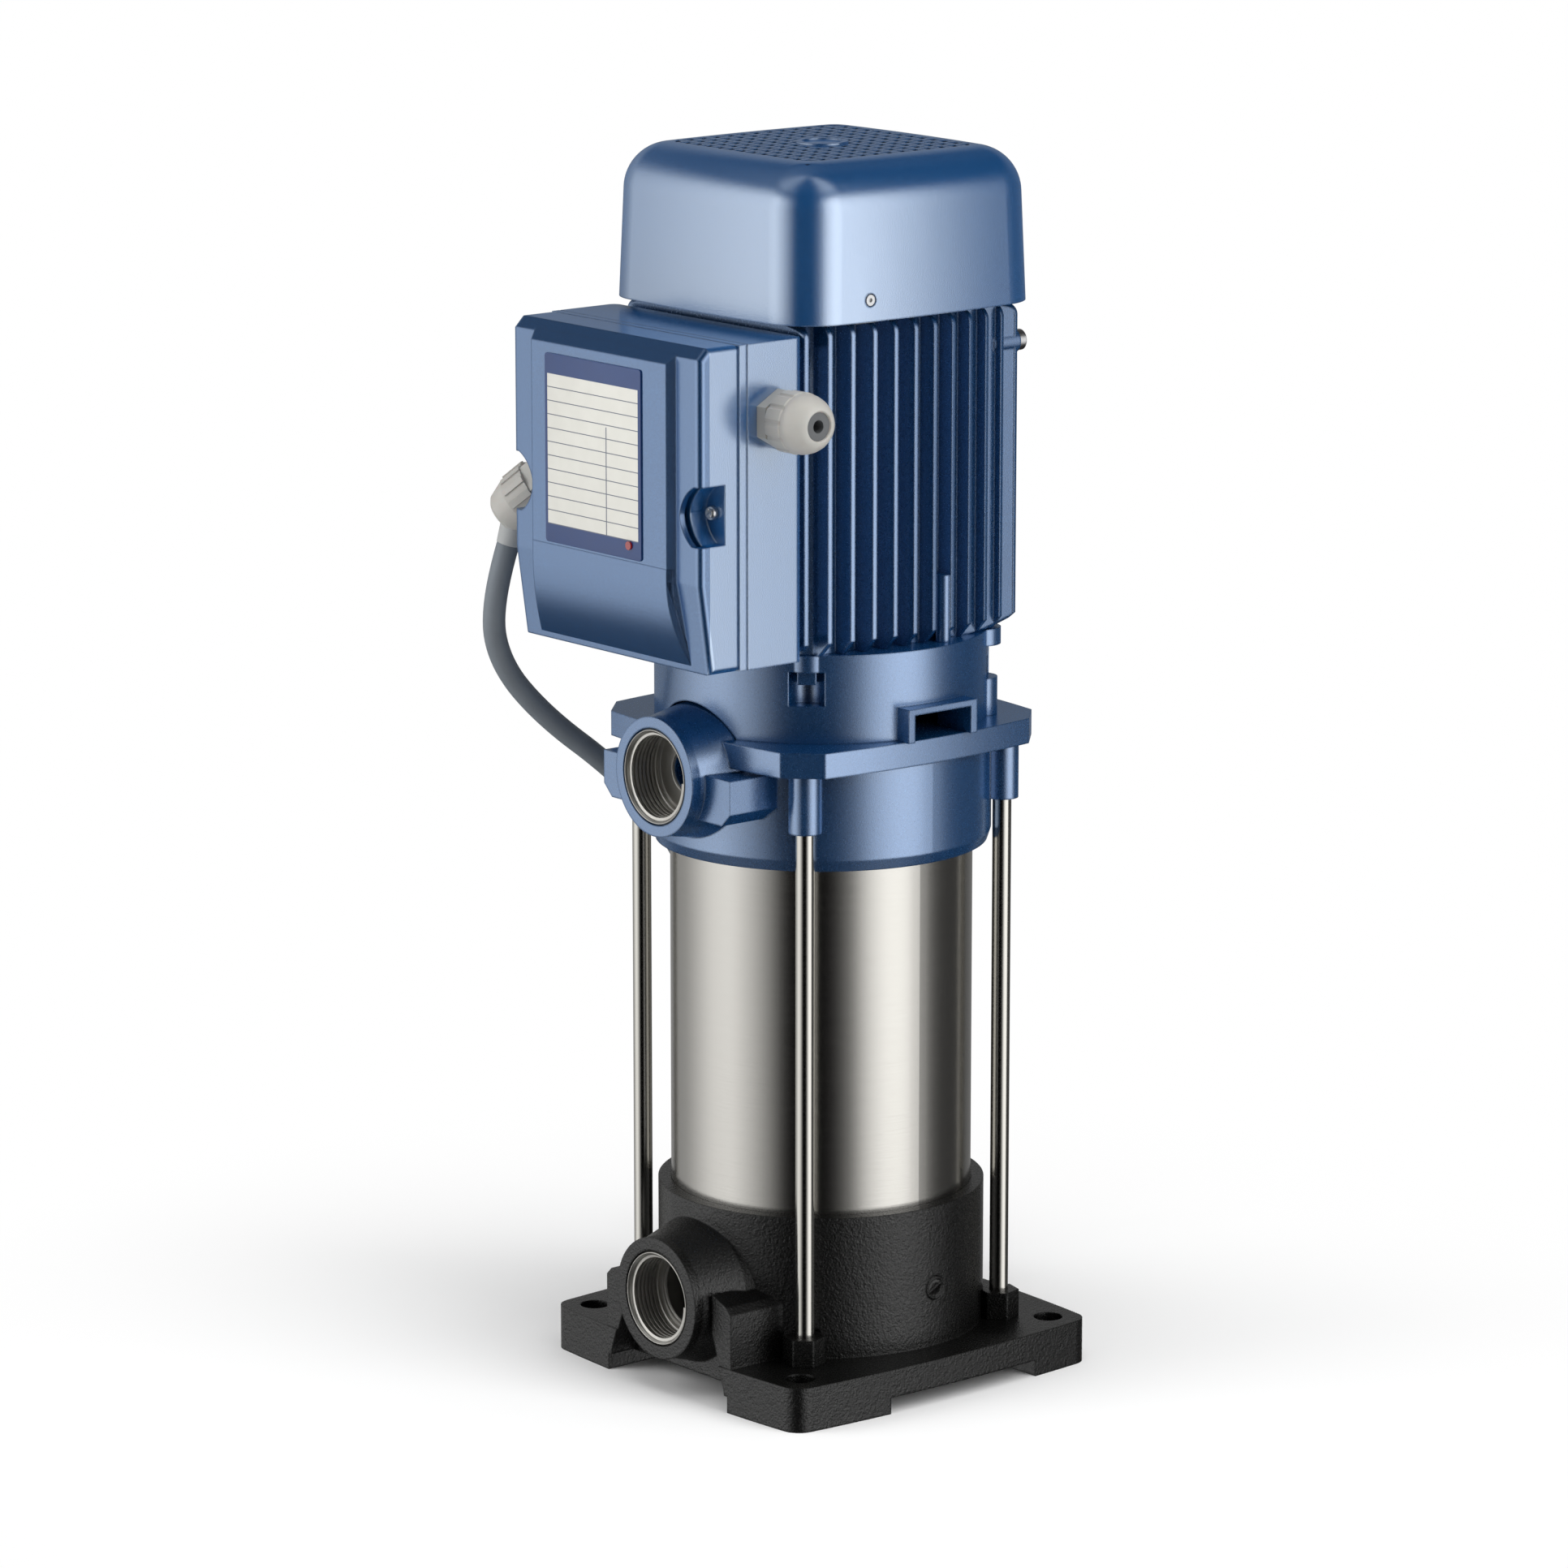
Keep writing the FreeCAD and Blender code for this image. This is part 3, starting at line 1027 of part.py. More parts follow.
def gland(label, place):
    """A gland body with its hexagon, and the ribbed dome nut screwed over it."""
    stub = cylinder("stub_" + label, S.gland_stub_r, S.gland_stub + S.gland_collar + S.gland_nut / 2,
                    (0, 0, -S.gland_stub))
    collar = doc.addObject("Part::Prism", "collar_" + label)
    collar.Polygon = 6
    bind(collar, "Circumradius", S.gland_collar_r)
    bind(collar, "Height", S.gland_collar)
    body = fuse("gland_blank_" + label, [stub, collar])
    way = cylinder("gland_way_" + label, S.gland_hole_r, S.gland_stub + S.gland_nut * 3,
                   (0, 0, -S.gland_stub - 1))
    body = cut("gland_body_" + label, body, [way])
    body.Placement = place
    node("gland_body_" + label, body)

    nut_end = S.gland_collar + S.gland_nut
    tip = nut_end + S.gland_dome
    dome = revolve("dome_" + label, [
        (S.gland_hole_r, nut_end - S.gland_nut / 2), (S.gland_stub_r, nut_end - S.gland_nut / 2),
        (S.gland_stub_r, S.gland_collar), (S.gland_nut_r, S.gland_collar),
        (S.gland_nut_r, nut_end), (S.gland_mouth_r + 2, tip - 2),
        (S.gland_mouth_r, tip), (S.gland_hole_r, tip)])
    pieces = [dome]
    for index in range(GLAND_RIBS):
        pieces.append(box("rib_%s_%d" % (label, index),
                          (S.gland_nut_r - 1.5, -S.gland_rib_wide / 2, S.gland_collar),
                          (S.gland_nut_r + S.gland_rib, S.gland_rib_wide / 2, nut_end - 1),
                          360.0 * index / GLAND_RIBS))
    nut = fuse("gland_nut_" + label, pieces)
    nut.Placement = place
    node("gland_nut_" + label, nut)


def right_gland_seal():
    tip = S.gland_collar + S.gland_nut + S.gland_dome
    seal = ring("gland_seal_right", S.gland_seal_in_r, S.gland_seal_r, tip - S.gland_seal, tip - 1)
    seal.Placement = right_entry()
    node("gland_seal_right", seal)


def sleeve_start():
    return left_entry(S.sleeve_start.value).Base


def left_sleeve():
    """The soft sleeve that leaves the left nut, bent down with the cable."""
    sleeve = revolve("cable_sleeve", [
        (0, 0), (S.sleeve_r, 0), (S.sleeve_r, S.sleeve_long / 2),
        (S.sleeve_end_r, S.sleeve_long), (0, S.sleeve_long)])
    turn = FreeCAD.Rotation(FreeCAD.Vector(0, 0, 1), CABLE_WAY)
    sleeve.Placement = FreeCAD.Placement(sleeve_start(), turn)
    node("cable_sleeve", sleeve)


# Cable, coil and plug

# The photograph is taken from this side, so the spare cable lies straight behind the
# pump: RIGHTWARD is across that view and AWAY leads from it.
VIEW_TURN = math.radians(50.3)
RIGHTWARD = FreeCAD.Vector(math.cos(VIEW_TURN), math.sin(VIEW_TURN), 0)
AWAY = FreeCAD.Vector(-math.sin(VIEW_TURN), math.cos(VIEW_TURN), 0)
COIL_AWAY = 208
COIL_CENTRE = AWAY * COIL_AWAY


def floor_point(rightward, away, height):
    return RIGHTWARD * rightward + AWAY * away + FreeCAD.Vector(0, 0, height)


def cable_route():
    """The corners of the route from the sleeve down to the coil."""
    cable_r = S.cable_r.value
    side = S.coil_r.value + cable_r
    start = sleeve_start() + CABLE_WAY * S.sleeve_long.value
    return [
        start,
        start + CABLE_WAY * S.cable_tip.value,
        FreeCAD.Vector(-111, -107.5, 338),
        FreeCAD.Vector(-113, -79, 308),
        FreeCAD.Vector(-113, -37, 277),
        FreeCAD.Vector(-112, 1, 239),
        FreeCAD.Vector(-109, 20, 192),
        FreeCAD.Vector(-108, 26, 142),
        FreeCAD.Vector(-113, 24, 94),
        FreeCAD.Vector(-126, 27, 50),
        floor_point(-61, 139, 19),
        floor_point(-side, 177, cable_r),
        floor_point(-side, COIL_AWAY, cable_r)]


def rounded_path(points):
    """Straight runs joined by tangent arcs, each as large as its two runs allow."""
    edges = []
    radii = []
    place = points[0]
    for before, corner, after in zip(points, points[1:], points[2:]):
        back = (before - corner)
        ahead = (after - corner)
        shorter = min(back.Length, ahead.Length)
        reach = S.bend_share.value * shorter
        back.normalize()
        ahead.normalize()
        half_turn = (math.pi - back.getAngle(ahead)) / 2
        radius = reach / math.tan(half_turn)
        radii.append(round(radius, 1))
        enter = corner + back * reach
        leave = corner + ahead * reach
        inward = (back + ahead).normalize()
        centre = corner + inward * (radius / math.cos(half_turn))
        middle = centre - inward * radius
        edges.append(Part.LineSegment(place, enter).toShape())
        edges.append(Part.Arc(enter, middle, leave).toShape())
        place = leave
    edges.append(Part.LineSegment(place, points[-1]).toShape())
    return Part.Wire(edges), radii


def power_cable():
    wire, radii = rounded_path(cable_route())
    start = wire.Edges[0]
    section = Part.Wire([Part.Circle(start.valueAt(start.FirstParameter), CABLE_WAY,
                                     S.cable_r.value).toShape()])
    tube = wire.makePipeShell([section], True, False)
    cable = doc.addObject("Part::Feature", "power_cable")
    cable.Shape = tube
    cable.Placement = FreeCAD.Placement()
    node("power_cable", cable)
    expected = math.pi * S.cable_r.value ** 2 * wire.Length
    print("cable radii", radii)
    print("cable tube length %.1f, volume ratio %.4f" % (wire.Length, tube.Volume / expected))
    coil_length = math.pi * (5 * S.coil_r.value)
    print("whole cable %.0f" % (wire.Length + coil_length + S.tail_long.value))


def coil_and_plug():
    """The spare cable: two turns side by side, half a turn on them, a tail and the plug."""
    lower = ring("coil_lower", S.coil_r - S.cable_r * 2, S.coil_r + S.cable_r * 2, 0,
                 S.cable_r * 2)
    lower.Placement = FreeCAD.Placement(COIL_CENTRE, FreeCAD.Rotation())
    upper_ring = ring("coil_upper_ring", S.coil_r - S.cable_r, S.coil_r + S.cable_r,
                      S.cable_r * 2, S.cable_r * 4)
    reach = S.coil_r * 2
    near_half = box("coil_near_half", (-reach, -reach, 0), (reach, 0, reach))
    upper = cut("coil_upper", upper_ring, [near_half])
    upper.Placement = FreeCAD.Placement(COIL_CENTRE,
                                        FreeCAD.Rotation(FreeCAD.Vector(1, 0, 0), RIGHTWARD))
    leave = floor_point(S.coil_r.value, COIL_AWAY, (S.cable_r * 3 + S.fit_gap).value)
    towards = FreeCAD.Rotation(FreeCAD.Vector(0, 0, 1), -AWAY)
    tail = cylinder("coil_tail", S.cable_r, S.tail_long)
    tail.Placement = FreeCAD.Placement(leave, towards)
    node("cable_coil", fuse("cable_coil", [lower, upper, tail]))

    relief_end = S.plug_relief
    grip_end = relief_end + S.plug_grip
    face = grip_end + S.plug_head
    grip = revolve("plug_grip_body", [
        (0, 0), (S.plug_relief_r, 0), (S.plug_neck_r, relief_end),
        (S.plug_r - S.plug_edge, grip_end), (S.plug_r, grip_end + S.plug_edge_long),
        (S.plug_r, face), (0, face)])
    pins = []
    for index, place in enumerate((-S.plug_pin_place, S.plug_pin_place)):
        pins.append(cylinder("plug_pin_%d" % index, S.plug_pin_r, S.plug_pin + 1,
                             (0, place, face - 1)))
    plug = fuse("power_plug", [grip] + pins)
    plug.Placement = FreeCAD.Placement(leave - AWAY * (S.tail_long + S.fit_gap).value, towards)
    node("power_plug", plug)


base_casting()
port_ring("suction_port_ring", S.suction_z)
drain_plug()
barrel()
tie_rods()
discharge_casing()
port_ring("discharge_port_ring", S.discharge_z)
motor_bracket()
bracket_screws()
motor_housing()
stator()
end_shield()
fan_cover()
bearings()
shafts()
shaft_seal()
cooling_fan()
for stage_index in range(STAGES):
    stage(stage_index)
terminal_box_base()
terminal_box_cover()
box_contents()
gland("right", right_entry())
gland("left", left_entry(S.left_boss.value))
right_gland_seal()
left_sleeve()
power_cable()
coil_and_plug()
doc.recompute()

for thing in doc.Objects:
    if "Invalid" in thing.State or "Error" in thing.State:
        raise RuntimeError("%s did not build: %s" % (thing.Label, thing.State))
for name, thing in NODES.items():
    if thing.Shape.isNull() or not thing.Shape.isValid():
        raise RuntimeError("%s has no valid shape" % name)

os.makedirs("parts", exist_ok=True)
for name, thing in NODES.items():
    thing.Shape.exportStep("parts/%s.step" % name)
print("sub-parts", len(NODES))
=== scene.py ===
import math

import bmesh
import bpy
from mathutils import Matrix, Vector


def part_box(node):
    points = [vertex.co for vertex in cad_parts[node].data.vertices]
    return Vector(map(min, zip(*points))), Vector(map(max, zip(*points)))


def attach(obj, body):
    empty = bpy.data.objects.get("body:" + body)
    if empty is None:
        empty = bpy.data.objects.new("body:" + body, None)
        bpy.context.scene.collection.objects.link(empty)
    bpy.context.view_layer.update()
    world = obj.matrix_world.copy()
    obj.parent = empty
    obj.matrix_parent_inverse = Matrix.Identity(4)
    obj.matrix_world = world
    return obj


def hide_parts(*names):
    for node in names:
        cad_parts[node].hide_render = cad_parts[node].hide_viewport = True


# Vertical electric pump dressed for its render. Metres, +Z up, both ports look along -Y.

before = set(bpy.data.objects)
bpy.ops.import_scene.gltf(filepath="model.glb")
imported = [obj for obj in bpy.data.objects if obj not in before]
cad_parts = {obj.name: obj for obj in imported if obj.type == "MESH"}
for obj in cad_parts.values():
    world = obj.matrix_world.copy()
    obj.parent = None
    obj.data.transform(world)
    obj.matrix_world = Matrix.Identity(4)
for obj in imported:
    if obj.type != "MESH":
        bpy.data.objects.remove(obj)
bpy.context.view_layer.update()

MM = 0.001
VIEW_AZIMUTH = math.radians(50.3)
VIEW_HEIGHT = math.radians(12.4)
VIEW_TARGET = Vector((-0.01137, -0.01369, 0.28289))
VIEW_DISTANCE = 3.211
LENS = 154.66
RIGHTWARD = Vector((math.cos(VIEW_AZIMUTH), math.sin(VIEW_AZIMUTH), 0))
AWAY = Vector((-math.sin(VIEW_AZIMUTH), math.cos(VIEW_AZIMUTH), 0))

ALWAYS_WHITE = (1, 1, 1, 1)


def mm(*place):
    return Vector(place) * MM


def in_metres(profile):
    return [(radius * MM, height * MM) for radius, height in profile]


def linked(name, data):
    """Puts an object with that data in the scene."""
    piece = bpy.data.objects.new(name, data)
    bpy.context.collection.objects.link(piece)
    return piece


def mesh_of(name, shape):
    """Turns a bmesh into mesh data."""
    data = bpy.data.meshes.new(name)
    shape.to_mesh(data)
    shape.free()
    return data


# Camera

def camera():
    back = Vector((math.sin(VIEW_AZIMUTH) * math.cos(VIEW_HEIGHT),
                   -math.cos(VIEW_AZIMUTH) * math.cos(VIEW_HEIGHT),
                   math.sin(VIEW_HEIGHT)))
    data = bpy.data.cameras.new("camera")
    data.lens = LENS
    data.sensor_width = 36
    eye = linked("camera", data)
    eye.location = VIEW_TARGET + back * VIEW_DISTANCE
    eye.rotation_mode = "QUATERNION"
    eye.rotation_quaternion = (-back).to_track_quat("-Z", "Y")
    bpy.context.scene.camera = eye


camera()


# The power cable from its sleeve to the plug

CABLE_R = 5.45 * MM
ENTRY = mm(-69, -91, 443.3)
ENTRY_WAY = Vector((-0.66, -0.40, -0.636)).normalized()
CABLE_WAY = Vector((-0.20, -0.20, -0.959)).normalized()
SLEEVE_START = 39 * MM
SLEEVE_LONG = 21 * MM
COIL_AWAY = 208 * MM
COIL_TOP_R = 57.2 * MM
COIL_OUTER_R = COIL_TOP_R + CABLE_R
COIL_INNER_R = COIL_TOP_R - CABLE_R
COIL_POINTS = 24
COIL_TURNS = 2.5
STEP_IN = 0.875
STEP_UP = 1.625
STEP_OUT = 1.875
STEP_LONG = 0.125
TAIL_LONG = 43 * MM
STRAIGHT_RUN = 31 * MM
HANGING_RUN = [(-111, -107.5, 338), (-113, -79, 308), (-113, -37, 277), (-112, 1, 239),
               (-109, 20, 192), (-108, 26, 142), (-113, 24, 94), (-126, 27, 50)]
LANDING = (-61 * MM, 139 * MM, 19 * MM)
COIL_ENTRY_AWAY = 177 * MM


def floor_point(right, away, height):
    """A point near the floor, given rightward and away as the camera sees it."""
    return RIGHTWARD * right + AWAY * away + Vector((0, 0, height))


def eased(share):
    share = min(max(share, 0), 1)
    return share * share * (3 - 2 * share)


def coil_point(step):
    """One point of the coil: two turns on the floor and half a turn on top of them."""
    turns = step / COIL_POINTS
    inward = eased((turns - STEP_IN) / STEP_LONG)
    raised = eased((turns - STEP_UP) / (2 * STEP_LONG))
    outward = eased((turns - STEP_OUT) / STEP_LONG)
    radius = COIL_OUTER_R + (COIL_INNER_R - COIL_OUTER_R) * inward
    radius += (COIL_TOP_R - COIL_INNER_R) * outward
    radius /= math.cos(math.pi / COIL_POINTS)
    angle = math.pi * (1 - 2 * turns)
    return floor_point(radius * math.cos(angle), COIL_AWAY + radius * math.sin(angle),
                       CABLE_R + 2 * CABLE_R * raised)


def cable_points():
    """The cable's line: out of its sleeve, down behind the port, round the coil, to the plug."""
    start = ENTRY + ENTRY_WAY * SLEEVE_START + CABLE_WAY * SLEEVE_LONG
    points = [start, start + CABLE_WAY * STRAIGHT_RUN]
    points += [mm(*place) for place in HANGING_RUN]
    points += [floor_point(*LANDING), floor_point(-COIL_OUTER_R, COIL_ENTRY_AWAY, CABLE_R)]
    points += [coil_point(step) for step in range(int(COIL_POINTS * COIL_TURNS) + 1)]
    points.append(floor_point(COIL_TOP_R, COIL_AWAY - TAIL_LONG, 3 * CABLE_R))
    return points


def cable():
    data = bpy.data.curves.new("cable", "CURVE")
    data.dimensions = "3D"
    data.bevel_depth = CABLE_R
    data.bevel_resolution = 8
    data.resolution_u = 10
    data.use_fill_caps = True
    line = data.splines.new("NURBS")
    points = cable_points()
    line.points.add(len(points) - 1)
    for spot, point in zip(line.points, points):
        spot.co = (*point, 1)
    line.order_u = 3
    line.use_endpoint_u = True
    return linked("cable", data)


# Meshes

TOUCHING = 1e-6


def finished(name, shape, body, material, replaces=(), smooth=35):
    """Turns a bmesh into a piece that rides on a body."""
    bmesh.ops.remove_doubles(shape, verts=shape.verts, dist=TOUCHING)
    bmesh.ops.recalc_face_normals(shape, faces=shape.faces)
    data = mesh_of(name, shape)
    data.shade_smooth()
    data.set_sharp_from_angle(angle=math.radians(smooth))
    data.materials.append(material)
    piece = linked(name, data)
    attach(piece, body)
    if replaces:
        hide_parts(*replaces)
    return piece


def turned(shape, outline, steps, closed=True):
    """Spins (radius, height) points about Z. An open outline starts and ends on the axis."""
    spots = [shape.verts.new((radius, 0, height)) for radius, height in outline]
    following = spots[1:] + spots[:1] if closed else spots[1:]
    edges = [shape.edges.new(pair) for pair in zip(spots, following)]
    bmesh.ops.spin(shape, geom=spots + edges, axis=(0, 0, 1), cent=(0, 0, 0),
                   steps=steps, angle=2 * math.pi, use_merge=True)


def twisted(shape, degrees):
    """Turns a shape about the Z axis."""
    bmesh.ops.rotate(shape, verts=shape.verts, cent=(0, 0, 0),
                     matrix=Matrix.Rotation(math.radians(degrees), 3, "Z"))


def stood(shape, foot, axis):
    """Sends a shape drawn up the Z axis to its foot, with its top along an axis."""
    turn = Vector((0, 0, 1)).rotation_difference(Vector(axis)).to_matrix().to_4x4()
    bmesh.ops.transform(shape, matrix=Matrix.Translation(foot) @ turn, verts=shape.verts)


# Node trees

SKIN_SOCKETS = {
    "colour": "Base Color", "metallic": "Metallic", "roughness": "Roughness",
    "coat": "Coat Weight", "coat_roughness": "Coat Roughness", "ior": "IOR",
    "specular": "Specular IOR Level", "specular_tint": "Specular Tint",
    "subsurface": "Subsurface Weight", "emission": "Emission Strength",
    "emission_colour": "Emission Color", "normal": "Normal",
}


def paint(red, green, blue):
    """A colour given as it looks on a screen, 0 to 255."""
    def straight(value):
        share = value / 255
        return share / 12.92 if share <= 0.04045 else ((share + 0.055) / 1.055) ** 2.4
    return (straight(red), straight(green), straight(blue), 1)


class Wire:
    """A node's output. Sums on it add Math nodes."""

    def __init__(self, finish, socket):
        self.finish = finish
        self.socket = socket

    def join(self, operation, first, second):
        return self.finish.node("ShaderNodeMath", {"operation": operation},
                                {0: first, 1: second})

    def __add__(self, other):
        return self.join("ADD", self, other)

    __radd__ = __add__

    def __sub__(self, other):
        return self.join("SUBTRACT", self, other)

    def __rsub__(self, other):
        return self.join("SUBTRACT", other, self)

    def __mul__(self, other):
        return self.join("MULTIPLY", self, other)

    __rmul__ = __mul__

    def __gt__(self, other):
        return self.join("GREATER_THAN", self, other)

    def __lt__(self, other):
        return self.join("LESS_THAN", self, other)


class Finish:
    """A material and its nodes. Constants are set on the shader's own sockets."""

    def __init__(self, name, **constants):
        self.material = bpy.data.materials.new(name)
        self.material.use_nodes = True
        self.tree = self.material.node_tree
        self.skin = self.tree.nodes["Principled BSDF"]
        for key, value in constants.items():
            self.skin.inputs[SKIN_SOCKETS[key]].default_value = value

    def feed(self, socket, value):
        if isinstance(value, Wire):
            self.tree.links.new(value.socket, socket)
        else:
            socket.default_value = value

    def node(self, kind, settings=None, inputs=None, output=0):
        made = self.tree.nodes.new(kind)
        for key, value in (settings or {}).items():
            if key == "stops":
                self.set_stops(made.color_ramp, value)
            else:
                setattr(made, key, value)
        for key, value in (inputs or {}).items():
            self.feed(made.inputs[key], value)
        return Wire(self, made.outputs[output])

    def set_stops(self, ramp, stops):
        while len(ramp.elements) < len(stops):
            ramp.elements.new(1)
        for element, (position, colour) in zip(ramp.elements, stops):
            element.position = position
            element.color = colour

    def wear(self, key, value):
        self.feed(self.skin.inputs[SKIN_SOCKETS[key]], value)

    def place(self, stretch=(1, 1, 1)):
        spot = self.node("ShaderNodeTexCoord", output="Object")
        return self.node("ShaderNodeMapping", {"vector_type": "POINT"},
                         {"Vector": spot, "Scale": stretch})

    def axes(self):
        """The three object coordinates as wires, in millimetres."""
        spot = self.node("ShaderNodeTexCoord", output="Object")
        return [self.node("ShaderNodeSeparateXYZ", None, {0: spot}, axis) * (1 / MM)
                for axis in ("X", "Y", "Z")]

    def noise(self, scale, detail=2, stretch=(1, 1, 1)):
        return self.node("ShaderNodeTexNoise", None,
                         {"Vector": self.place(stretch), "Scale": scale, "Detail": detail})

    def spread(self, value, low, high):
        """Maps a 0 to 1 wire onto low to high."""
        return value * (high - low) + low

    def ramp(self, value, stops):
        return self.node("ShaderNodeValToRGB", {"stops": stops}, {"Fac": value})

    def mix(self, factor, first, second):
        return self.node("ShaderNodeMix", {"data_type": "RGBA"},
                         {0: factor, 6: first, 7: second}, 2)

    def relief(self, height, depth, strength=1, edge=0):
        """Bump of that depth in metres, on edges rounded by the edge radius."""
        inputs = {"Height": height, "Distance": depth, "Strength": strength}
        if edge:
            inputs["Normal"] = self.node("ShaderNodeBevel", {"samples": 4}, {"Radius": edge})
        self.wear("normal", self.node("ShaderNodeBump", None, inputs))


# Finishes. Places are in millimetres.

LID_FACE = -124
BOX_BACK = -69.2
BOX_FOOT = 361
COVER_FOOT = 516.5
GRID_LOW = 586
GRID_HIGH = 588.9
GRID_HALF = 55


def blue_paint():
    """Blue enamel with a tinted shine and a fine grain.

    Painted shade: it is made deeper on the castings and the lid, and black inside the fan
    cover's grid so the holes read as shadow.
    """
    look = Finish("blue_enamel", ior=4.5, specular_tint=(0.79, 0.89, 1, 1))
    x, y, z = look.axes()
    cloud = look.noise(14, 3)
    fleck = look.ramp(look.noise(2400, 1), [(0.5, (0, 0, 0, 1)), (0.72, ALWAYS_WHITE)])
    deep = look.mix(cloud, paint(0, 60, 110), paint(4, 68, 120))
    grained = look.mix(fleck, deep, paint(30, 88, 142))
    # Painted shade: the walls of the grid's holes turn black and fully metallic, standing for
    # the shadow in the holes.
    grid_hole_shade = ((z > GRID_LOW) * (z < GRID_HIGH)
               * (x * x < GRID_HALF ** 2) * (y * y < GRID_HALF ** 2))
    look.wear("colour", look.mix(grid_hole_shade, grained, paint(5, 8, 14)))
    # Painted shade: the same paint is made deeper on the lid and the castings by a higher
    # metallic share.
    lid = (y < LID_FACE) * (z > BOX_FOOT)
    castings = (z < COVER_FOOT) * (1 - (y < BOX_BACK) * (z > BOX_FOOT))
    look.wear("metallic", lid * 0.5 + castings * 0.42 + grid_hole_shade)
    look.wear("roughness", look.spread(look.noise(1100, 2), 0.15, 0.26) + castings * 0.05)
    look.relief(look.noise(1900, 2), 0.08 * MM, 0.4, 1.2 * MM)
    return look.material


def black_casting():
    """Black painted cast iron with a sandy skin."""
    look = Finish("black_iron", specular=0.56)
    cloud = look.noise(25, 3)
    look.wear("colour", look.mix(cloud, paint(5, 5, 5), paint(13, 13, 12)))
    look.wear("roughness", look.spread(look.noise(700, 3), 0.2, 0.36))
    grain = look.noise(1150, 3) + look.noise(520, 2) * 0.8
    look.relief(grain, 0.42 * MM, 0.75, 1.4 * MM)
    return look.material


def brushed(name, colour, low, high, brush, fine):
    """Steel brushed round its upright axis."""
    look = Finish(name, metallic=1)
    streak = look.noise(1, 3, (40, 40, brush))
    look.wear("colour", look.mix(streak, paint(*[value - 9 for value in colour]),
                                 paint(*colour)))
    look.wear("roughness", look.spread(streak, low, high))
    look.relief(streak, fine)
    return look.material


def plain(name, colour, low, high, scale, depth, edge=0.4 * MM, **constants):
    """A finish with a fine even grain."""
    look = Finish(name, **constants)
    grain = look.noise(scale, 3)
    shade = [max(value - 8, 0) for value in colour]
    look.wear("colour", look.mix(look.noise(scale / 12, 2), paint(*shade), paint(*colour)))
    look.wear("roughness", look.spread(grain, low, high))
    look.relief(grain, depth, 0.6, edge)
    return look.material


def copper_wire():
    """Enamelled copper wound in fine wires round the stack."""
    look = Finish("copper_windings", metallic=0.8, coat=0.6, coat_roughness=0.15)
    strands = look.noise(1, 2, (60, 60, 900))
    look.wear("colour", look.mix(strands, paint(120, 58, 28), paint(190, 104, 56)))
    look.wear("roughness", look.spread(strands, 0.25, 0.5))
    look.relief(strands, 0.3 * MM)
    return look.material


PLATE_LOW = 411
PLATE_HIGH = 499.5
PLATE_LEFT = -38.7
PLATE_RIGHT = 32.3
PLATE_MARGIN = 2
HEADER = 9.5
FOOTER = 8.6
RULE_PITCH = 6.4
RULE_SHARE = 0.07
DIVIDER_START = -40
DIVIDER_PITCH = 23.5
DIVIDER_HALF = 0.35
DIVIDER_TOP = 470


def label_foil():
    """A bare rating plate: blue bands above and below an ivory field ruled in grey."""
    look = Finish("rating_plate", coat=0.4, coat_roughness=0.2, metallic=0.1)
    x, _, z = look.axes()
    banded = (z > PLATE_HIGH - HEADER) + (z < PLATE_LOW + FOOTER)
    margin = (x < PLATE_LEFT + PLATE_MARGIN) + (x > PLATE_RIGHT - PLATE_MARGIN)
    height = look.node("ShaderNodeMath", {"operation": "FRACT"},
                       {0: (z - PLATE_LOW - FOOTER) * (1 / RULE_PITCH)})
    across = look.node("ShaderNodeMath", {"operation": "PINGPONG"},
                       {0: x - DIVIDER_START, 1: DIVIDER_PITCH})
    ruled = (height < RULE_SHARE) + (across < DIVIDER_HALF) * (z < DIVIDER_TOP)
    speckle = look.noise(120, 2)
    ivory = look.mix(speckle, paint(206, 205, 197), paint(216, 215, 208))
    printed = look.mix(ruled, ivory, paint(92, 98, 112))
    blue = look.mix(speckle, paint(18, 48, 98), paint(24, 56, 108))
    edged = look.mix(margin, printed, blue)
    look.wear("colour", look.mix(banded, edged, blue))
    look.wear("roughness", look.spread(speckle, 0.25, 0.42))
    return look.material


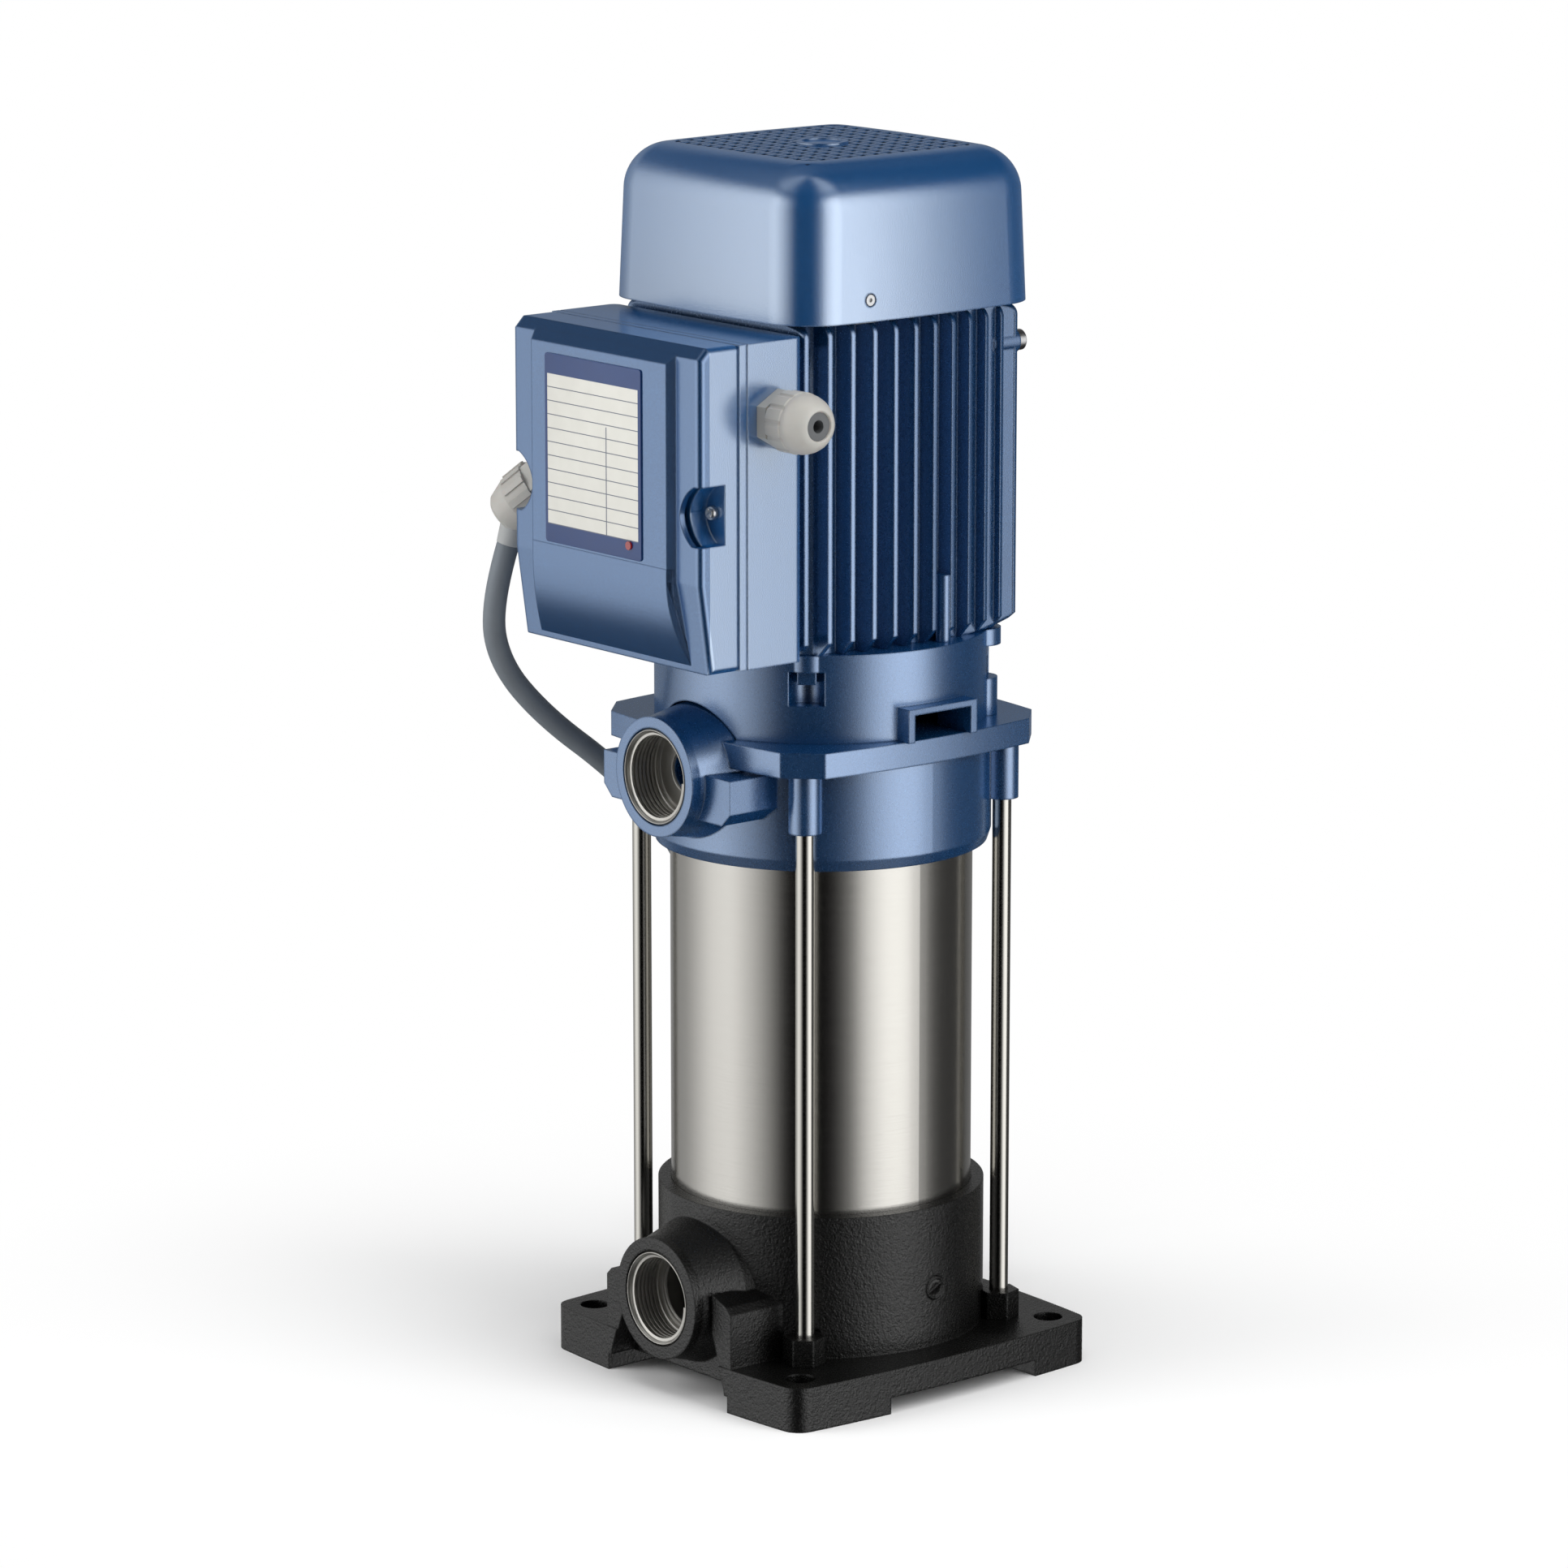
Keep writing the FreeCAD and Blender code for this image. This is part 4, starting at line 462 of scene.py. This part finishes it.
FINISHES = {
    "blue_paint": blue_paint(),
    "black_casting": black_casting(),
    "barrel_steel": brushed("brushed_barrel", (182, 180, 175), 0.17, 0.28, 5200, 0.02 * MM),
    "rod_steel": brushed("drawn_rod", (186, 184, 178), 0.16, 0.28, 1800, 0.01 * MM),
    "shaft_steel": brushed("ground_shaft", (190, 190, 190), 0.15, 0.25, 2400, 0.01 * MM),
    "port_steel": plain("machined_ring", (204, 202, 196), 0.26, 0.4, 900, 0.02 * MM,
                        metallic=0.95),
    "screw_steel": plain("zinc_screw", (224, 225, 226), 0.24, 0.4, 1500, 0.02 * MM,
                         metallic=1),
    "bearing_steel": plain("bearing_race", (168, 170, 174), 0.16, 0.26, 2000, 0.01 * MM,
                           metallic=1),
    "iron_sheet": brushed("stacked_iron", (120, 120, 124), 0.35, 0.55, 2000, 0.15 * MM),
    "copper_wire": copper_wire(),
    # Painted shade: this aluminium is darker than bare cast aluminium, standing for the shade
    # under the fan cover.
    "bare_aluminium": plain("shaded_cast_aluminium", (112, 114, 116), 0.4, 0.58, 700, 0.06 * MM,
                            metallic=0.9),
    "seal_carbon": plain("seal_carbon", (40, 40, 42), 0.3, 0.45, 1200, 0.02 * MM),
    "label_foil": label_foil(),
    "lamp_red": plain("red_lens", (140, 14, 18), 0.08, 0.16, 800, 0.01 * MM, coat=1.0,
                      coat_roughness=0.05),
    "dark_plastic": plain("dark_plastic", (26, 27, 29), 0.4, 0.55, 1500, 0.04 * MM),
    "gland_plastic": plain("grey_polyamide", (176, 174, 169), 0.3, 0.44, 1600, 0.04 * MM,
                           subsurface=0.05),
    "seal_rubber": plain("grey_seal", (92, 94, 96), 0.5, 0.66, 1400, 0.05 * MM),
    "sleeve_rubber": plain("sleeve_rubber", (168, 170, 170), 0.48, 0.62, 1400, 0.04 * MM),
    "cable_jacket": plain("cable_jacket", (112, 119, 126), 0.42, 0.56, 1300, 0.05 * MM,
                          edge=0),
    "plug_rubber": plain("plug_rubber", (58, 61, 65), 0.46, 0.6, 1200, 0.05 * MM),
    "stage_plastic": plain("stage_plastic", (210, 206, 190), 0.4, 0.55, 1200, 0.04 * MM),
}


def repaint_nodes():
    """Gives every CAD node the finish of its own slot."""
    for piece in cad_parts.values():
        for holder in piece.material_slots:
            name = holder.material.name.split(".")[0]
            holder.material = FINISHES[name]


repaint_nodes()


# The cable's own pieces

PLUG_PROFILE = [
    (0, 0), (6.2, 0), (6.4, 1), (7.1, 5), (6.6, 6), (7.6, 10), (7.0, 11), (8.8, 15.5),
    (10.5, 17), (12.2, 21), (12.6, 26), (12.0, 30), (13.2, 34), (15.4, 37), (16.1, 39),
    (16.2, 50), (15.6, 52.2), (14.4, 53), (0, 53)]
PIN_PROFILE = [(0, 0), (2.4, 0), (2.4, 17), (1.7, 18.7), (0, 19)]
PLUG_LONG = 53 * MM
PIN_PLACE = 9.5 * MM


def plug():
    """A moulded two pin plug on the floor, on the tail of the cable."""
    shape = bmesh.new()
    turned(shape, in_metres(PLUG_PROFILE), 40, closed=False)
    for side in (-1, 1):
        pin = bmesh.new()
        turned(pin, in_metres(PIN_PROFILE), 20, closed=False)
        bmesh.ops.translate(pin, verts=pin.verts, vec=(PIN_PLACE * side, 0, PLUG_LONG))
        shape.from_mesh(mesh_of("pin", pin))
    start = floor_point(COIL_TOP_R, COIL_AWAY - TAIL_LONG - 0.1 * MM, 3 * CABLE_R)
    turn = Matrix(((RIGHTWARD.x, 0, -AWAY.x), (RIGHTWARD.y, 0, -AWAY.y), (0, 1, 0))).to_4x4()
    bmesh.ops.transform(shape, matrix=Matrix.Translation(start) @ turn, verts=shape.verts)
    return finished("mains_plug", shape, "pump_body",
                    FINISHES["plug_rubber"], ["power_plug"])


mains_cable = cable()
mains_cable.data.materials.append(FINISHES["cable_jacket"])
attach(mains_cable, "pump_body")
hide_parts("power_cable", "cable_coil")
cable_points()[0]
plug()


# Threaded port rings

THREAD_PITCH = 2.309 * MM
THREAD_TURNS = 6
THREAD_STEPS = 48
THREAD_TALL = 1.48 * MM
THREAD_START = 15.4 * MM
RIDGE_FOOT = 0.85 * MM
RIDGE_CREST = 0.6 * MM
RIDGE_SUNK = 0.2 * MM
ROOT_END = 15.5 * MM
BORE_START = 16.5 * MM
RING_BORE_R = 19.475 * MM
RING_LIP = 0.7 * MM
SEAT_THICK = 1.2 * MM


def port_ring(name, node, way_r, sleeve):
    """A steel ring with a chamfered lip and a screw thread, and a smooth way behind it."""
    low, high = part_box(node)
    outer = (high.x - low.x) / 2
    depth = high.y - low.y
    root = RING_BORE_R + THREAD_TALL
    lip = RING_LIP
    shape = bmesh.new()
    turned(shape, [(outer, 0), (outer, depth - 3 * lip), (outer - lip, depth - 2 * lip),
                   (outer - lip, depth - lip / 2), (outer - lip - lip / 2, depth),
                   (root + lip * 1.4, depth), (root, depth - lip * 1.4),
                   (root, depth - ROOT_END), (RING_BORE_R, depth - BORE_START),
                   (RING_BORE_R, SEAT_THICK + lip), (RING_BORE_R - lip, SEAT_THICK),
                   (way_r + lip, SEAT_THICK), (way_r, SEAT_THICK - lip), (way_r, -sleeve),
                   (way_r + lip, -sleeve), (way_r + lip, 0)], 96)
    ridge = [(root + RIDGE_SUNK, -RIDGE_FOOT), (RING_BORE_R, -RIDGE_CREST),
             (RING_BORE_R, RIDGE_CREST), (root + RIDGE_SUNK, RIDGE_FOOT)]
    spots = [shape.verts.new((radius, 0, height + depth - THREAD_START))
             for radius, height in ridge]
    edges = [shape.edges.new((a, b)) for a, b in zip(spots, spots[1:] + spots[:1])]
    shape.faces.new(spots)
    made = bmesh.ops.spin(shape, geom=spots + edges, axis=(0, 0, 1), cent=(0, 0, 0),
                          dvec=(0, 0, THREAD_PITCH / THREAD_STEPS),
                          steps=THREAD_STEPS * THREAD_TURNS,
                          angle=2 * math.pi * THREAD_TURNS)
    shape.faces.new([thing for thing in made["geom_last"]
                     if isinstance(thing, bmesh.types.BMVert)])
    outlet = Vector(((low.x + high.x) / 2, high.y, (low.z + high.z) / 2))
    stood(shape, outlet, (0, -1, 0))
    finished(name, shape, "pump_body", FINISHES["port_steel"], [node])


port_ring("suction_thread_ring", "suction_port_ring", 16.3 * MM, 9 * MM)
port_ring("discharge_thread_ring", "discharge_port_ring", 9.4 * MM, 0.2 * MM)


# Screws, drain plug and gland nut

def sunk(shape, top, deep, inside):
    """Sinks those faces of a flat top whose middle lies inside a pattern."""
    floor = [face for face in shape.faces
             if all(abs(spot.co.z - top) < TOUCHING for spot in face.verts)
             and inside(face.calc_center_median())]
    made = bmesh.ops.extrude_face_region(shape, geom=floor)
    moved = [thing for thing in made["geom"] if isinstance(thing, bmesh.types.BMVert)]
    bmesh.ops.translate(shape, verts=moved, vec=(0, 0, -deep))


def cut_across(shape, half_width, normal):
    """Scores two lines right across a shape, one on each side of its axis."""
    for side in (-half_width, half_width):
        bmesh.ops.bisect_plane(shape, geom=shape.verts[:] + shape.edges[:] + shape.faces[:],
                               plane_co=Vector(normal) * side, plane_no=normal)


SCREW_ARM = 0.5 * MM
SCREW_TOP = 34 * MM
SCREW_RECESS = 1.4 * MM
SCREW_TURN = 32
SCREW_PROFILE = [(0, 0), (2, 0), (2, 31), (3.25, 31), (3.25, 32.3), (2.95, 33.3), (2.3, 34),
                 (0, 34)]


def lid_screw(label):
    """A pan head screw with a cross recess."""
    low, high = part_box("lid_screw_" + label)
    shape = bmesh.new()
    turned(shape, in_metres(SCREW_PROFILE), 40, closed=False)
    cut_across(shape, SCREW_ARM, (1, 0, 0))
    cut_across(shape, SCREW_ARM, (0, 1, 0))
    sunk(shape, SCREW_TOP, SCREW_RECESS,
         lambda spot: min(abs(spot.x), abs(spot.y)) < SCREW_ARM)
    twisted(shape, SCREW_TURN)
    stood(shape, Vector(((low.x + high.x) / 2, high.y, (low.z + high.z) / 2)), (0, -1, 0))
    finished("cross_screw_" + label, shape, "pump_body", FINISHES["screw_steel"],
             ["lid_screw_" + label])


lid_screw("right")
lid_screw("left")


DRAIN_PROFILE = [(0, 0), (6, 0), (6, 12.1), (5.2, 12.9), (4.6, 12.9), (4.2, 12.2), (3.9, 12.2),
                 (0, 12.2)]
DRAIN_SLOT = 0.75 * MM
DRAIN_SLOT_DEEP = 1.8 * MM
DRAIN_TOP = 12.2 * MM
DRAIN_TURN = 28


def drain_screw():
    """The drain plug: a slotted disc inside a raised rim."""
    low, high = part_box("drain_plug")
    shape = bmesh.new()
    turned(shape, in_metres(DRAIN_PROFILE), 56, closed=False)
    cut_across(shape, DRAIN_SLOT, (1, 0, 0))
    sunk(shape, DRAIN_TOP, DRAIN_SLOT_DEEP, lambda spot: abs(spot.x) < DRAIN_SLOT)
    twisted(shape, DRAIN_TURN)
    stood(shape, Vector((low.x, (low.y + high.y) / 2, (low.z + high.z) / 2)), (1, 0, 0))
    finished("drain_screw", shape, "pump_body", FINISHES["black_casting"],
             ["drain_plug"])


drain_screw()


NUT_RIBS = 12
NUT_STEPS = 96
NUT_RIB = 0.6 * MM
NUT_RIB_STEPS = 6
NUT_RIB_FOOT = 1.1 * MM
NUT_RIB_TOP = 12.1 * MM
NUT_RIB_ROOT_R = 13 * MM
NUT_PROFILE = [
    (6.6, 0), (12, 0), (12, 1), (13.2, 1.2), (13.7, 1.9), (13.8, 11.4), (13.3, 12),
    (13.9, 12.6), (14, 13.6), (13.7, 15.4), (12.9, 18), (11.7, 20.4), (10.2, 22.4),
    (8.6, 23.7), (7.4, 24), (6.9, 23.7), (6.6, 23)]
NUT_SMOOTH = 28


def gland_nut():
    """The right cable gland's nut: wide flat ribs, then a dome with a round mouth."""
    low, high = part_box("gland_nut_right")
    shape = bmesh.new()
    turned(shape, in_metres(NUT_PROFILE), NUT_STEPS)
    for spot in shape.verts:
        step = round(math.atan2(spot.co.y, spot.co.x) / (2 * math.pi) * NUT_STEPS)
        on_rib = step % (NUT_STEPS // NUT_RIBS) < NUT_RIB_STEPS
        on_side = NUT_RIB_FOOT < spot.co.z < NUT_RIB_TOP
        if on_rib and on_side and spot.co.xy.length > NUT_RIB_ROOT_R:
            spot.co.xy *= 1 + NUT_RIB / spot.co.xy.length
    stood(shape, Vector((low.x, (low.y + high.y) / 2, (low.z + high.z) / 2)), (1, 0, 0))
    finished("ribbed_gland_nut", shape, "pump_body", FINISHES["gland_plastic"],
             ["gland_nut_right"], NUT_SMOOTH)


gland_nut()


BRACKET_SCREW_PLACE = 52.5 * MM
BRACKET_SCREW_HEAD = 9 * MM
BRACKET_SCREW_HEAD_TALL = 11 * MM
BRACKET_SCREW_SHANK_R = 2.9 * MM
BRACKET_SCREW_OVERLAP = 1 * MM


def square_screws():
    """Four painted square headed screws that hold the motor, each with a flat outwards."""
    low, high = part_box("bracket_screws")
    head_top = low.z + BRACKET_SCREW_HEAD_TALL
    shape = bmesh.new()
    for side_x in (-1, 1):
        for side_y in (-1, 1):
            place = Vector((side_x * BRACKET_SCREW_PLACE, side_y * BRACKET_SCREW_PLACE, 0))
            for radius, segments, foot, head in (
                    (BRACKET_SCREW_HEAD / math.sqrt(2), 4, low.z, head_top),
                    (BRACKET_SCREW_SHANK_R, 24, head_top - BRACKET_SCREW_OVERLAP, high.z)):
                middle = Matrix.Translation(place + Vector((0, 0, (foot + head) / 2)))
                bmesh.ops.create_cone(shape, cap_ends=True, segments=segments,
                                      radius1=radius, radius2=radius, depth=head - foot,
                                      matrix=middle)
    finished("square_bracket_screws", shape, "pump_body",
             FINISHES["blue_paint"], ["bracket_screws"])


square_screws()


# Lid belly: the lid's lower front, drawn in by one smooth curve. Places are in millimetres.

BELLY_TOP = 410
BELLY_START = 404
BELLY_FOOT = 362.3
PANEL_FACE = -134
BELLY_DRAW = 11
FLANK_SLOPE = 8.2 / 13
FLANK_X = 49.1
FLANK_Y = -135
BELLY_SKIN = 0.08
BELLY_BACK = 3.2


def lid_belly():
    """A curved skin over the lid's lower front, closed by a rim and a back."""
    shape = bmesh.new()
    bmesh.ops.create_grid(shape, x_segments=24, y_segments=40, size=1)
    for spot in shape.verts:
        across = spot.co.x
        z = BELLY_FOOT + (BELLY_TOP - BELLY_FOOT) * (spot.co.y + 1) / 2
        drawn = max(BELLY_START - z, 0) / (BELLY_START - BELLY_FOOT)
        y = PANEL_FACE - BELLY_SKIN + BELLY_DRAW * drawn * drawn
        spot.co = mm(across * (FLANK_X + (y - FLANK_Y) * FLANK_SLOPE), y, z)
    rim = [edge for edge in shape.edges if len(edge.link_faces) == 1]
    made = bmesh.ops.extrude_edge_only(shape, edges=rim)
    moved = [thing for thing in made["geom"] if isinstance(thing, bmesh.types.BMVert)]
    for spot in moved:
        spot.co.x += math.copysign(BELLY_BACK * FLANK_SLOPE * MM, spot.co.x) * (
            abs(spot.co.x) > FLANK_X * MM)
        spot.co.y += BELLY_BACK * MM
    back = [edge for edge in shape.edges if len(edge.link_faces) == 1]
    bmesh.ops.contextual_create(shape, geom=back)
    finished("lid_belly", shape, "pump_body", FINISHES["blue_paint"])


lid_belly()


# Rating plate

PLATE_CORNER = 1.6 * MM
PLATE_EDGE = 0.25 * MM


def rating_plate():
    """The rating plate with rounded corners and a soft front edge."""
    low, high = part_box("rating_label")
    shape = bmesh.new()
    bmesh.ops.create_cube(shape, size=1)
    size = high - low
    bmesh.ops.scale(shape, vec=size, verts=shape.verts)
    bmesh.ops.translate(shape, vec=(low + high) / 2, verts=shape.verts)
    corners = [edge for edge in shape.edges
               if abs(edge.verts[0].co.y - edge.verts[1].co.y) > size.y / 2]
    bmesh.ops.bevel(shape, geom=corners, affect="EDGES", offset=PLATE_CORNER, segments=5,
                    profile=0.5, material=-1)
    front = [edge for edge in shape.edges
             if all(spot.co.y < low.y + size.y / 4 for spot in edge.verts)
             and len(edge.link_faces) == 2]
    bmesh.ops.bevel(shape, geom=front, affect="EDGES", offset=PLATE_EDGE, segments=2,
                    profile=0.5, material=-1)
    finished("rating_plate", shape, "pump_body",
             FINISHES["label_foil"], ["rating_label"])


rating_plate()


# Studio

def only_seen(tree, seen, unseen):
    """Picks one shader for camera, mirror and glass rays and another for the light."""
    path = tree.nodes.new("ShaderNodeLightPath")
    direct = path.outputs["Is Camera Ray"]
    for ray in ("Is Glossy Ray", "Is Transmission Ray"):
        either = tree.nodes.new("ShaderNodeMath")
        either.operation = "MAXIMUM"
        tree.links.new(direct, either.inputs[0])
        tree.links.new(path.outputs[ray], either.inputs[1])
        direct = either.outputs[0]
    chosen = tree.nodes.new("ShaderNodeMixShader")
    tree.links.new(direct, chosen.inputs[0])
    tree.links.new(unseen, chosen.inputs[1])
    tree.links.new(seen, chosen.inputs[2])
    return chosen.outputs[0]


WORLD_LIGHT = 0.4


def surroundings():
    """A white world for the eye, and a weaker one for the light."""
    world = bpy.data.worlds.new("studio")
    world.use_nodes = True
    tree = world.node_tree
    lit = tree.nodes["Background"]
    lit.inputs["Color"].default_value = ALWAYS_WHITE
    lit.inputs["Strength"].default_value = WORLD_LIGHT
    white = tree.nodes.new("ShaderNodeBackground")
    white.inputs["Color"].default_value = ALWAYS_WHITE
    white.inputs["Strength"].default_value = 1
    shown = only_seen(tree, white.outputs[0], lit.outputs[0])
    tree.links.new(shown, tree.nodes["World Output"].inputs["Surface"])
    bpy.context.scene.world = world


FLOOR_R = 6
FLOOR_FADE_START = 0.08
FLOOR_FADE_END = 0.5


def floor():
    """A pale floor that holds the shadow and turns plain white farther out."""
    shape = bmesh.new()
    bmesh.ops.create_circle(shape, cap_ends=True, radius=FLOOR_R, segments=96)
    data = mesh_of("floor", shape)
    look = Finish("pale_floor", colour=(0.97, 0.97, 0.97, 1), roughness=0.9, specular=0)
    spot = look.node("ShaderNodeTexCoord", output="Object")
    far = look.node("ShaderNodeVectorMath", {"operation": "LENGTH"}, {0: spot}, "Value")
    fade = look.node("ShaderNodeMapRange", {"interpolation_type": "SMOOTHSTEP"},
                     {"Value": far, "From Min": FLOOR_FADE_START,
                      "From Max": FLOOR_FADE_END})
    path = look.node("ShaderNodeLightPath", output="Is Diffuse Ray")
    white = look.node("ShaderNodeEmission", None, {"Color": ALWAYS_WHITE, "Strength": 1})
    blend = look.node("ShaderNodeMixShader", None, {
        0: fade * (1 - path), 1: Wire(look, look.skin.outputs[0]), 2: white})
    look.feed(look.tree.nodes["Material Output"].inputs["Surface"], blend)
    data.materials.append(look.material)
    ground = linked("floor", data)
    ground.visible_glossy = False


LAMP_FAR = 2.4
LAMP_AIM = Vector((0, 0, 0.3))


def softbox(name, azimuth, height, wide, tall, power):
    """A lamp aimed at the pump. Its azimuth is measured from the camera, to the right."""
    data = bpy.data.lights.new(name, "AREA")
    data.shape = "RECTANGLE"
    data.size = wide
    data.size_y = tall
    data.energy = power
    lamp = linked(name, data)
    lamp.visible_camera = False
    lamp.visible_glossy = False
    angle = VIEW_AZIMUTH + math.radians(azimuth)
    tilt = math.radians(height)
    way = Vector((math.sin(angle) * math.cos(tilt), -math.cos(angle) * math.cos(tilt),
                  math.sin(tilt)))
    lamp.location = LAMP_AIM + way * LAMP_FAR
    lamp.rotation_mode = "QUATERNION"
    lamp.rotation_quaternion = (-way).to_track_quat("-Z", "Y")


WALL_FAR = 3.4
WALL_LOW = -2.5
WALL_HIGH = 4.5
WALL_PEAK = 2.2
WALL_FADES = [(-1.6, 0.13), (-1.0, 1), (1.8, 1), (3.0, 0.12), (4.3, 0.3)]
WALL_GLOW = [(-180, 0.14), (-150, 0.18), (-125, 0.24), (-110, 0.4), (-92, 0.66), (-72, 0.76),
             (-55, 0.5), (-40, 0.22), (-28, 0), (9, 0), (23, 0.14), (35, 0.66), (50, 1),
             (66, 1), (74, 0.74), (82, 0.26), (90, 0.08), (102, 0.03), (124, 0.03), (146, 0.07),
             (180, 0.14)]


def mirrored_wall():
    """A round wall that only mirrors see: two bright fields with black cloth between them."""
    shape = bmesh.new()
    turned(shape, [(0, WALL_LOW), (WALL_FAR, WALL_LOW), (WALL_FAR, WALL_HIGH),
                   (0, WALL_HIGH)], 96, closed=False)
    data = mesh_of("mirrored_wall", shape)
    look = Finish("wall_cloth", colour=(0, 0, 0, 1), roughness=1, specular=0,
                  emission=WALL_PEAK)
    x, y, z = look.axes()
    angle = look.node("ShaderNodeMath", {"operation": "ARCTAN2"}, {0: x, 1: 0 - y})
    glow = look.ramp(angle * (0.5 / math.pi) + 0.5,
                     [((azimuth + 180) / 360, (level, level, level, 1))
                      for azimuth, level in WALL_GLOW])
    tall = WALL_HIGH - WALL_LOW
    fade = look.ramp((z * MM - WALL_LOW) * (1 / tall),
                     [((height - WALL_LOW) / tall, (level, level, level, 1))
                      for height, level in WALL_FADES])
    look.wear("emission_colour", look.mix(fade, (0, 0, 0, 1), glow))
    data.materials.append(look.material)
    wall = linked("mirrored_wall", data)
    wall.rotation_euler.z = VIEW_AZIMUTH
    wall.visible_camera = False
    wall.visible_diffuse = False
    wall.visible_shadow = False
    wall.visible_transmission = False


surroundings()
floor()
mirrored_wall()
softbox("right_softbox", 55, 30, 1.5, 2.2, 39)
softbox("left_softbox", -78, 24, 1.4, 2.2, 28)
softbox("top_softbox", 10, 75, 1.6, 1.6, 19)

bpy.context.scene.view_settings.view_transform = "Standard"
